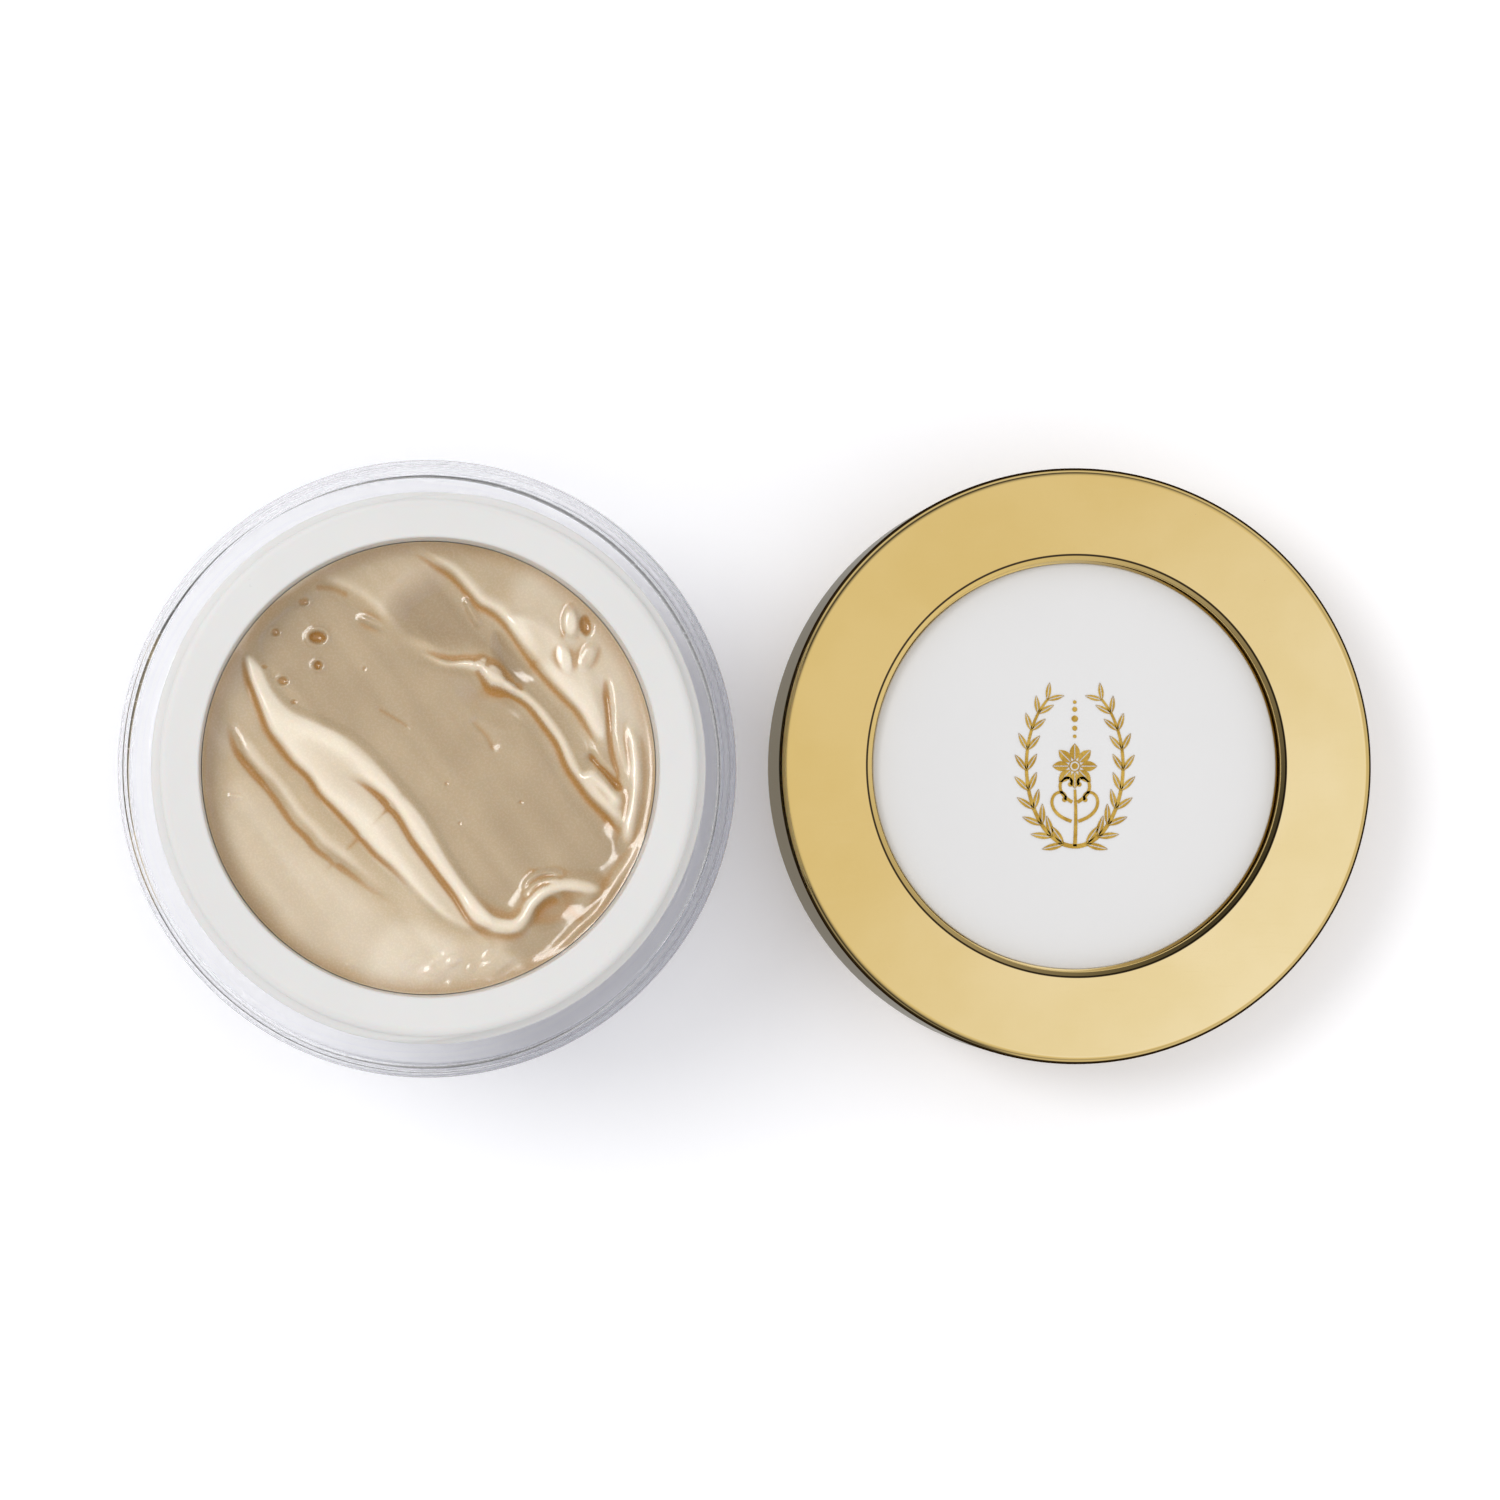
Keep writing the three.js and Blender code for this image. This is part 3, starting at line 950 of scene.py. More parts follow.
def nearest_on(line: np.ndarray, x: np.ndarray, y: np.ndarray) -> tuple[np.ndarray, np.ndarray, np.ndarray]:
    """Find the nearest point of a line to each place.

    Args:
        line: Points of the line.
        x: Places across.
        y: Places up.

    Returns:
        Distance, side (1 on the line's left, -1 on its right) and share of the line's length.
    """
    best = np.full(x.shape, 1e9)
    side, along = np.zeros(x.shape), np.zeros(x.shape)
    lengths = np.linalg.norm(np.diff(line, axis=0), axis=1)
    done = np.concatenate([[0], np.cumsum(lengths)])
    for start, end, length, before in zip(line, line[1:], lengths, done):
        ux, uy = (end - start) / length
        dx, dy = x - start[0], y - start[1]
        t = np.clip(dx * ux + dy * uy, 0, length)
        gap = np.hypot(dx - t * ux, dy - t * uy)
        closer = gap < best
        best[closer] = gap[closer]
        side[closer] = np.sign(ux * dy - uy * dx)[closer]
        along[closer] = ((before + t) / done[-1])[closer]
    return best, side, along


@dataclass(frozen=True)
class Patch:
    """A raised or scooped patch of the surface with a soft edge.

    Attributes:
        points: Its outline, in millimetres from the cup's axis.
        height: How far it stands up, or sinks where negative.
        rise: Width of its edge.
        tone: How much paler it is, or deeper in colour where negative; on the ridges and scoops this is
            painted light and painted shade.
    """

    points: tuple[Point, ...]
    height: float
    rise: float
    tone: float

    def share(self, x: np.ndarray, y: np.ndarray) -> np.ndarray:
        """Return how much of the patch there is at each place, from 0 to 1.

        Args:
            x: Places across.
            y: Places up.

        Returns:
            The shares.
        """
        given = np.array(self.points, float)
        loop = curve_through(np.vstack([given[-1:], given, given[:2]]))
        distance, _, _ = nearest_on(loop, x, y)
        crossings = np.zeros(x.shape, int)
        for (ax, ay), (bx, by) in zip(loop, loop[1:]):
            if ay != by:
                crossings += ((ay > y) != (by > y)) & (x < ax + (y - ay) * (bx - ax) / (by - ay))
        inside = np.where(crossings % 2, distance, -distance)
        return smooth(0.5 + inside / self.rise)


@dataclass(frozen=True)
class Stroke:
    """One mark in the cream.

    Attributes:
        mark: The kind of mark.
        points: The line it follows, in millimetres from the cup's axis.
        depth: Depth of its crease or drop, or height of its ridge.
        lip: Height of the lip beside the crease.
        near: Width over which the surface sinks towards the line.
        rise: Width over which it climbs on the far side.
        tail: Width over which the lip dies away.
        ends: Shares of its length over which it starts and stops.
    """

    mark: Mark
    points: tuple[Point, ...]
    depth: float
    lip: float = 0.0
    near: float = 1.0
    rise: float = 0.8
    tail: float = 2.0
    ends: Point = (0.2, 0.2)

    def line(self) -> np.ndarray:
        """Return the stroke's line as a smooth curve through its points.

        Returns:
            The curve's points.
        """
        given = np.array(self.points, float)
        ghosts = (2 * given[0] - given[1], 2 * given[-1] - given[-2])
        return curve_through(np.vstack([ghosts[0], given, ghosts[1]]))

    def height(self, x: np.ndarray, y: np.ndarray) -> np.ndarray:
        """Return what the stroke adds to the cream's height at each place.

        Args:
            x: Places across.
            y: Places up.

        Returns:
            What is added, in millimetres.
        """
        distance, side, along = nearest_on(self.line(), x, y)
        strength = smooth(along / self.ends[0]) * smooth((1 - along) / self.ends[1])
        return self.profile(distance * side) * strength

    def profile(self, offset: np.ndarray) -> np.ndarray:
        """Return the section across the stroke; the offset is positive on its left.

        Args:
            offset: Distances from the line.

        Returns:
            Heights across it.
        """
        right, left = np.minimum(offset, 0), np.maximum(offset, 0)
        if self.mark is Mark.RIDGE:
            return self.depth * np.exp(-((right / self.near) ** 2) - (left / self.rise) ** 2)
        if self.mark is Mark.GROOVE:
            return -self.depth * np.exp(-((right / self.near) ** 2) - (left / self.rise) ** 2)
        climb = 1 - np.exp(-((left / self.rise) ** 2))
        lip = self.lip * climb * np.exp(-((left / self.tail) ** 2))
        sink = -self.depth * np.exp(1.2 * right / self.near - (right / self.near / 2) ** 2) * (1 - climb)
        return sink + lip


@dataclass(frozen=True)
class Dab:
    """A rounded bump, or a pit where its height is negative.

    Attributes:
        place: Its middle.
        size: Half widths along and across.
        height: Its height.
        turn: The angle of its long side, in degrees.
        rim: Height of a raised rim round it.
    """

    place: Point
    size: Point
    height: float
    turn: float = 0.0
    rim: float = 0.0

    def shape(self, x: np.ndarray, y: np.ndarray) -> np.ndarray:
        """Return what the dab adds to the cream's height at each place.

        Args:
            x: Places across.
            y: Places up.

        Returns:
            What is added, in millimetres.
        """
        cos, sin = math.cos(math.radians(self.turn)), math.sin(math.radians(self.turn))
        dx, dy = x - self.place[0], y - self.place[1]
        away = np.hypot((dx * cos + dy * sin) / self.size[0], (dy * cos - dx * sin) / self.size[1])
        ring = self.rim * np.exp(-(((away - 1.35) / 0.4) ** 2))
        return self.height * np.exp(-(away**4) * 0.8) + ring


def smooth(value: np.ndarray) -> np.ndarray:
    """Return a smooth step from 0 to 1."""
    share = np.clip(value, 0, 1)
    return share * share * (3 - 2 * share)


def soft_noise(x: np.ndarray, y: np.ndarray, size: Point, turn: float, seed: int) -> np.ndarray:
    """Return smooth random unevenness between -1 and 1.

    Args:
        x: Places across.
        y: Places up.
        size: Length of a wave along and across its direction.
        turn: Its direction in degrees.
        seed: Chooses the pattern.

    Returns:
        The unevenness at each place.
    """
    cos, sin = math.cos(math.radians(turn)), math.sin(math.radians(turn))
    u, v = (x * cos + y * sin) / size[0] + 200, (y * cos - x * sin) / size[1] + 200
    table = np.random.default_rng(seed).uniform(-1, 1, (512, 512))
    i, j = np.floor(u).astype(int), np.floor(v).astype(int)
    s, t = smooth(u - i), smooth(v - j)
    near = table[i % 512, j % 512] * (1 - s) + table[(i + 1) % 512, j % 512] * s
    far = table[i % 512, (j + 1) % 512] * (1 - s) + table[(i + 1) % 512, (j + 1) % 512] * s
    return near * (1 - t) + far * t


PATCHES = (
    # The long scoop across the middle, with painted shade
    Patch(((-18.6, 13.5), (-17.9, 10.5), (-16.5, 7.6), (-14.6, 5.8), (-11.8, 4.7), (-9.2, 3.5), (-7, 1.7),
           (-5, -0.4), (-3.1, -2.4), (-1, -5.3), (1, -8.5), (3.1, -11.5), (5.2, -13.8), (7.2, -15.1),
           (9, -15), (10.3, -13.3), (12, -12), (15, -11.4), (18, -11.7), (20, -10), (20.3, -7.5),
           (18.4, -5.2), (16.8, -3.5), (15.5, -1.7), (14.2, 0.2), (13, 2.6), (11.6, 4.4), (10, 6),
           (8.4, 7.2), (6.4, 7.9), (5.4, 9.3), (4, 10.6), (1, 11.2), (-2, 12.6), (-5, 15.4), (-9, 18),
           (-13, 18.6), (-16.5, 16.5)), -0.8, 2.6, -0.5),
    # The deeper mark above it, with darker painted shade
    Patch(((-3.4, 17), (-1, 19.6), (1.5, 19.8), (3.5, 18), (4.8, 16.4), (6.5, 14.6), (8, 12.4), (9.2, 9.8),
           (8, 9.8), (6.5, 11.2), (5.2, 12.1), (2, 12.3), (-1, 13), (-3, 14.5)), -0.7, 3.6, -0.85),
    # The flat band between the two folds on the right, with painted shade
    Patch(((7, 14), (9, 12), (11, 9.6), (13, 7.4), (15, 5.2), (16.8, 2.8), (17.4, 0.6), (16.3, -0.6),
           (15.4, 0.6), (14.2, 2.9), (12.4, 5.3), (10.6, 7.1), (9, 8.6), (7.4, 11)), -0.45, 1.4, -0.35),
    # The broad pale ridge left of the scoop, its paleness painted light
    Patch(((-19.1, 11.5), (-18.6, 8), (-17.2, 4.5), (-15.6, 2.3), (-14, 0.2), (-12.3, -1.6), (-10.8, -3.8),
           (-8.2, -6.5), (-5.7, -9.2), (-3.2, -11.4), (-0.6, -14), (2, -16.2), (4.5, -17), (6.4, -15.6),
           (4, -12.2), (2, -9), (0, -5.6), (-2.2, -2.6), (-4.2, -0.4), (-6.2, 1.8), (-8.8, 3.8), (-11.6, 5),
           (-14.2, 6.2), (-16, 8), (-17.4, 10.5)), 0.5, 1.3, 0.55),
    # The ridges beyond the upper fold, a little paler with painted light
    Patch(((8.6, 15.2), (10.4, 13), (12.4, 10.4), (14.4, 8), (16.2, 5.8), (18, 3), (19, 4.4), (17.6, 8),
           (15.8, 11.2), (13.2, 14.4), (10.4, 16)), 0.25, 1.6, 0.3),
    # Paler colour, with no change of height, left and below, and round the right
    Patch(((-21, -3), (-19.5, -1), (-17.5, -3), (-15, -6.4), (-12, -9.4), (-9, -12), (-5, -14.6), (0, -17),
           (3, -19), (2, -22), (-6, -22), (-13, -18), (-19, -11), (-21.5, -6)), 0, 3.0, 0.36),
    Patch(((-4, -16.5), (2, -17.4), (8, -18.6), (10.4, -21), (4, -24), (-6, -23)), 0, 2.5, 0.3),
    Patch(((8, 17), (12, 12.6), (16, 7), (19.4, 1), (22, -4), (24, 2), (20, 13), (12, 21)), 0, 3.0, 0.4),
    # Painted shade under the curl, in a slight dip
    Patch(((9.6, -17), (11, -15), (13, -13.6), (17, -13.6), (19, -12.8), (16, -16.5), (11.2, -20), (8, -19)),
          -0.1, 1.6, -0.5),
)

STROKES = (
    # The long creases left of the scoop
    Stroke(Mark.FOLD, ((-19.6, 13), (-19.3, 10), (-18.3, 7.2), (-17.2, 4.2), (-16, 2.4), (-14.5, 0.4),
                       (-12.8, -1.2), (-11.6, -3), (-10, -4.6), (-8, -6.8), (-6, -9), (-4, -10.7),
                       (-2, -12.8), (-0.3, -14.4)), 0.55, 0.2, 1.7, 0.7, 1.6, (0.15, 0.25)),
    Stroke(Mark.FOLD, ((-9.6, 0.2), (-8.4, -0.9), (-7, -1.8), (-5, -3.4), (-3.5, -5.2), (-2, -7.6),
                       (-0.5, -9.6), (1, -11.6), (2.5, -13.6), (4.2, -16.2), (6, -17.7), (8, -19.8)),
           0.85, 0.3, 1.7, 0.8, 1.6, (0.25, 0.4)),
    Stroke(Mark.FOLD, ((-21.6, 5.4), (-20.3, 2), (-18.6, -0.4), (-17, -2.2), (-15.5, -4.5), (-14.4, -6),
                       (-13, -7.4), (-12, -8.6), (-10.3, -9.9), (-8, -11.5), (-6, -13), (-3, -14.8),
                       (-1, -16.4)), 0.45, 0.6, 1.3, 0.9, 2.4, (0.15, 0.5)),
    Stroke(Mark.FOLD, ((-20.2, 2.4), (-19.2, 1), (-18.3, 0), (-17.3, -1.4), (-16.6, -2.4)),
           0.2, 0.15, 0.4, 0.35, 0.6, (0.3, 0.3)),
    # The far side of the scoop
    Stroke(Mark.FOLD, ((4.6, 11), (5.3, 9.6), (6, 8.4), (7.2, 7.9), (9, 7), (10.5, 5.9), (12, 4.2),
                       (13.4, 2.4), (14.5, 0), (15.7, -1.8), (17, -3.6), (18.6, -5.3), (20.3, -7.2)),
           0.55, 0.4, 2.0, 0.6, 1.5, (0.12, 0.1)),
    Stroke(Mark.FOLD, ((-3.5, 23), (-1, 22), (0.6, 21), (2.2, 20), (4, 18.2), (5, 17.1), (6.5, 16.2),
                       (7.6, 15), (8.6, 13.5), (10, 11.6), (12, 9.2), (14, 7), (15.6, 5.3), (17, 3.2),
                       (18.3, 1.2)), 0.35, 0.5, 1.8, 0.6, 1.8, (0.2, 0.15)),
    Stroke(Mark.FOLD, ((10, 7.8), (8.8, 8.9), (7.6, 9.8), (6.5, 10.5), (5.4, 11.3), (4, 11.6), (2, 11.5),
                       (0.5, 11.8), (-1.4, 12.4)), 0.3, 0.4, 1.6, 0.45, 0.9, (0.1, 0.3)),
    Stroke(Mark.RIDGE, ((3.6, 18), (4.4, 16.3), (5.4, 14.6)), 0.22, 0, 0.3, 0.45),
    # Folds pushed up against the right of the cup
    Stroke(Mark.FOLD, ((18.3, 9.8), (18.7, 6), (18.9, 2.5), (19.6, -0.5), (20.6, -3.4)),
           0.45, 0.5, 1.1, 0.7, 1.1),
    Stroke(Mark.RIDGE, ((21, 5.5), (21.6, 1), (21.7, -3), (21, -6.3), (19.8, -9.6)), 0.5, 0, 0.6, 0.7),
    Stroke(Mark.FOLD, ((16.6, 1.9), (17.6, 0.5), (18.7, -0.7), (20.3, -2.8)), 0.6, 0.3, 0.5, 0.5, 0.7),
    Stroke(Mark.RIDGE, ((16.3, -0.2), (17.6, -1.2), (18.8, -2.2), (20.3, -4.3)), 0.35, 0, 0.5, 0.5),
    # The curl at the foot of the scoop
    Stroke(Mark.RIDGE, ((3.4, -12.9), (5, -14.9), (7, -16.3), (9, -16.5), (10.2, -15.7), (11.1, -14.2),
                        (12.5, -12.9), (14, -12.2), (16, -12.1), (17.5, -12.6), (18.8, -13)),
           0.75, 0, 0.75, 0.75, ends=(0.3, 0.12)),
    Stroke(Mark.RIDGE, ((9.8, -12.9), (10.9, -11.5), (12.3, -10.9), (14.4, -11)), 0.3, 0, 0.3, 0.35),
    Stroke(Mark.RIDGE, ((10, -13.7), (11.2, -12.3), (12.4, -11.8), (14, -11.7)), 0.3, 0, 0.25, 0.35),
    Stroke(Mark.RIDGE, ((11.2, -20.5), (14, -18.6), (16, -16.6), (17.6, -15), (19.2, -12.8), (20.2, -11.2),
                        (21.3, -9.4), (22.3, -7.4), (22.8, -5)), 0.45, 0, 0.7, 0.6),
    # Small scratches
    Stroke(Mark.RIDGE, ((-7.9, 15.9), (-6, 15.2), (-4.3, 14.2)), 0.32, 0, 0.35, 0.35, ends=(0.3, 0.5)),
    Stroke(Mark.FOLD, ((-5.9, 6.6), (-3.8, 5.3), (-1.9, 4.1)), 0.12, 0.06, 0.25, 0.2, 0.3),
    Stroke(Mark.GROOVE, ((4.2, 5.4), (6, 3.5), (7, 1.5)), 0.15, 0, 0.3, 0.7),
    Stroke(Mark.GROOVE, ((-12.4, 18.8), (-10, 18.5), (-8.3, 17.6)), 0.16, 0, 0.6, 0.5),
    Stroke(Mark.RIDGE, ((-21, -2.8), (-19.2, -2.9)), 0.1, 0, 0.25, 0.25),
)

DABS = (
    Dab((5.4, 11), (0.7, 0.45), 0.35, 35),
    Dab((6.7, 9.9), (1.25, 0.8), 0.75, -35),
    Dab((8.3, 8.5), (0.7, 0.4), 0.3, -45),
    Dab((6.6, 6.4), (2.6, 1.5), -0.22, -25),
    Dab((-8.2, -20.6), (0.5, 0.35), 0.06, 20),
    Dab((-1.8, -20.4), (0.7, 0.4), 0.08, 30),
    Dab((0.2, -21.3), (0.5, 0.4), 0.07, -10),
    Dab((2.6, -20.2), (0.8, 0.45), 0.09, 25),
    Dab((4.4, -21), (0.5, 0.4), 0.08, 60),
    Dab((6.2, -19.6), (0.7, 0.4), 0.08, 40),
    Dab((14.8, 15.3), (0.75, 1.5), 0.5, 0),
    Dab((16.4, 15), (0.6, 1.0), -0.5, 10),
    Dab((14.2, 11.5), (0.6, 1.2), 0.3, 15),
    Dab((16.6, 11.8), (0.7, 1.3), 0.3, -25),
    Dab((13, -14.9), (2.6, 1.6), -0.45, 25),
    Dab((-11.7, 13.7), (0.8, 0.6), -0.7, 0, 0.16),
    Dab((-11.65, 10.75), (0.42, 0.42), -0.45, 0, 0.1),
    Dab((-16.1, 14.2), (0.42, 0.4), -0.2, 0, 0.07),
    Dab((-15.3, 9.1), (0.5, 0.42), -0.3, 0, 0.09),
    Dab((-13.2, 17.4), (0.55, 0.4), -0.12, 0, 0.06),
    Dab((-14.2, 6.9), (0.3, 0.25), -0.12, 0, 0.04),
    Dab((1.8, -1.6), (0.22, 0.2), -0.08, 0, 0.03),
    Dab((9.6, -3.6), (0.25, 0.2), -0.08, 0, 0.03),
    Dab((3.2, -5.8), (0.2, 0.2), -0.06, 0, 0.03),
    Dab((-6.8, 10.4), (0.24, 0.2), -0.08, 0, 0.03),
    Dab((-17.2, 10.6), (0.3, 0.24), -0.12, 0, 0.04),
)


@dataclass
class Cream:
    """The cream in the cup: a scooped and folded top on a body that fills the cup."""

    finish: Finish
    cup: WhiteCup
    level: float = 43.0
    gap: float = 0.15
    edge_gap: float = 0.03
    cells: int = 320
    drag: float = -52.0
    waver: float = 0.22
    patches: tuple[Patch, ...] = PATCHES
    strokes: tuple[Stroke, ...] = STROKES
    dabs: tuple[Dab, ...] = DABS

    def grid(self, radius: float) -> tuple[np.ndarray, np.ndarray]:
        """Return the places of a square grid pressed into a disc of a radius.

        Args:
            radius: Radius of the disc.

        Returns:
            Places across and places up.
        """
        side = np.linspace(-1, 1, self.cells + 1)
        u, v = np.meshgrid(side, side, indexing="ij")
        wide = np.abs(u) > np.abs(v)
        reach = np.where(wide, u, v)
        safe = np.where(reach == 0, 1, reach)
        share = np.where(wide, v, u) / safe * np.pi / 4
        x = np.where(wide, reach * np.cos(share), reach * np.sin(share))
        y = np.where(wide, reach * np.sin(share), reach * np.cos(share))
        return x * radius, y * radius

    def wavy(self, x: np.ndarray, y: np.ndarray) -> tuple[np.ndarray, np.ndarray]:
        """Return places moved a little to and fro, so that drawn lines come out less even.

        Args:
            x: Places across.
            y: Places up.

        Returns:
            The moved places across and up.
        """
        across = self.waver * soft_noise(x, y, (6, 4), -50, 3)
        up = self.waver * soft_noise(x, y, (5, 4), -50, 4)
        return x + across, y + up

    def marks(self, x: np.ndarray, y: np.ndarray) -> np.ndarray:
        """Return what the strokes and dabs alone add to the cream's height at each place.

        Args:
            x: Places across.
            y: Places up.

        Returns:
            What is added, in millimetres.
        """
        places = self.wavy(x, y)
        z = np.zeros(x.shape)
        for stroke in self.strokes:
            z += stroke.height(*places)
        for dab in self.dabs:
            z += dab.shape(x, y)
        return z

    def surface(self, x: np.ndarray, y: np.ndarray, radius: float, top: float) -> np.ndarray:
        """Return the cream's height at each place.

        Args:
            x: Places across.
            y: Places up.
            radius: Radius of the cup at the cream's edge.
            top: The highest the cream may stand.

        Returns:
            Heights in millimetres.
        """
        places = self.wavy(x, y)
        z = self.marks(x, y)
        for patch in self.patches:
            if patch.height:
                z += patch.height * patch.share(*places)
        broad = 0.10 * soft_noise(x, y, (14, 5), self.drag, 5)
        z += broad + 0.035 * soft_noise(x, y, (7, 1.4), self.drag, 6)
        z += 0.012 * soft_noise(x, y, (4, 0.5), self.drag, 7)
        lumpy = smooth((-y - 17) / 4) * smooth((x + 6) / 5)
        z += lumpy * 0.12 * soft_noise(x, y, (1.6, 0.9), 40, 8)
        away = np.hypot(x, y)
        z = z * smooth((radius - away + 0.3) / 1.6) ** 0.5
        z += 0.35 * np.exp(-(radius - away) / 0.35)
        heights = self.level + z
        return np.where(heights > top - 0.5, top - 0.5 + 0.5 * np.tanh((heights - top + 0.5) / 0.5), heights)

    def build(self) -> bpy.types.Object:
        """Build the cream, mark its creases, dress it and put it on its body.

        Returns:
            The finished piece.
        """
        rim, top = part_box("inner_cup")[1].z / MM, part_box("cream_fill")[1].z / MM
        radius = self.cup.wall_radius(self.level - 1.5, rim) - self.edge_gap
        x, y = self.grid(radius)
        z = self.surface(x, y, radius, top)
        count = self.cells + 1
        number = np.arange(count * count).reshape(count, count)
        points = [np.stack([x, y, z], -1).reshape(-1, 3)]
        faces = np.stack([number[:-1, :-1], number[1:, :-1], number[1:, 1:], number[:-1, 1:]], -1)
        faces = faces.reshape(-1, 4).tolist()
        ring = np.concatenate([number[:-1, 0], number[-1, :-1], number[:0:-1, -1], number[0, :0:-1]])
        faces += self.skirt(points, ring)
        cream = make_piece("cream_swirl", np.concatenate(points), faces, sharp=80)
        self.mark(cream, x, y, z)
        return fitted(cream, self.finish, "jar", "cream_fill")

    def skirt(self, points: list[np.ndarray], ring: np.ndarray) -> list[list[int]]:
        """Close the cream below its edge.

        Args:
            points: Arrays of vertices; the skirt's are appended.
            ring: Vertex numbers round the edge.

        Returns:
            The skirt's faces.
        """
        below = Outline().to(self.cup.wall_radius(36, 48) - self.gap, 36)
        profile = np.array(self.cup.inside(below, self.gap).points)
        edge = points[0][ring]
        angles = np.arctan2(edge[:, 1], edge[:, 0])
        faces, upper, start = [], ring, len(points[0])
        for radius, height in profile[:-1]:
            row = [radius * np.cos(angles), radius * np.sin(angles), np.full(len(ring), height)]
            points.append(np.stack(row, -1))
            lower = start + np.arange(len(ring))
            faces += np.stack([upper, lower, np.roll(lower, -1), np.roll(upper, -1)], -1).tolist()
            upper, start = lower, start + len(ring)
        points.append(np.array([[0, 0, profile[-1][1]]]))
        faces += [[int(a), start, int(b)] for a, b in zip(upper, np.roll(upper, -1))]
        return faces

    def mark(self, cream: bpy.types.Object, x: np.ndarray, y: np.ndarray, z: np.ndarray) -> None:
        """Store, for each point of the top, its painted shade in creases and round the wall, and how pale
        and how deep in colour it is, with painted light and painted shade in those tones.

        Args:
            cream: The piece.
            x: Places across.
            y: Places up.
            z: Heights there.
        """
        # A crease is where the drawn marks lie lower than their neighbourhood, near or wide; the crease
        # colour there is painted shade.
        wide, drawn = blurred(z, 14), self.marks(x, y)
        creases = smooth((blurred(drawn, 3) - drawn) / 0.09) * 0.7
        creases += smooth((blurred(drawn, 12) - drawn - 0.12) / 0.4) * 0.45
        # Painted shade: an even band of crease colour round the cup's wall.
        inward = x.max() - np.hypot(x, y)
        wall = 0.35 * smooth(1.15 - inward / 1.7)
        # Paler tone where the top stands above its surroundings is painted light; the noise adds random
        # tone; the patches add painted light on ridges, painted shade in scoops and plain paler colour
        # elsewhere.
        tone = 0.85 * smooth((z - wide - 0.05) / 0.4) + 0.12 * soft_noise(x, y, (5, 2.5), self.drag, 9)
        tone += 0.12 * soft_noise(x, y, (13, 1.1), self.drag, 10)
        places = self.wavy(x, y)
        for patch in self.patches:
            tone += patch.tone * patch.share(*places)
        values = {"painted_shade": np.maximum(creases, wall), "pale": tone, "deep": -tone}
        for name, value in values.items():
            full = np.zeros(len(cream.data.vertices), np.float32)
            full[: z.size] = np.clip(value, 0, 1).ravel()
            cream.data.attributes.new(name, "FLOAT", "POINT").data.foreach_set("value", full)


def blurred(field_values: np.ndarray, reach: int) -> np.ndarray:
    """Return a grid of values averaged over neighbours within a reach, twice.

    Args:
        field_values: The grid of values.
        reach: How many neighbours are taken on each side.

    Returns:
        The averaged grid.
    """
    made = field_values
    for _ in range(2):
        for axis in (0, 1):
            padded = np.pad(made, [(reach + 1, reach) if a == axis else (0, 0) for a in (0, 1)], mode="edge")
            total = np.cumsum(padded, axis=axis)
            width = 2 * reach + 1
            high = np.take(total, np.arange(width, total.shape[axis]), axis=axis)
            low = np.take(total, np.arange(0, total.shape[axis] - width), axis=axis)
            made = (high - low) / width
    return made


# ---- Lid ------------------------------------------------------------------------------------------


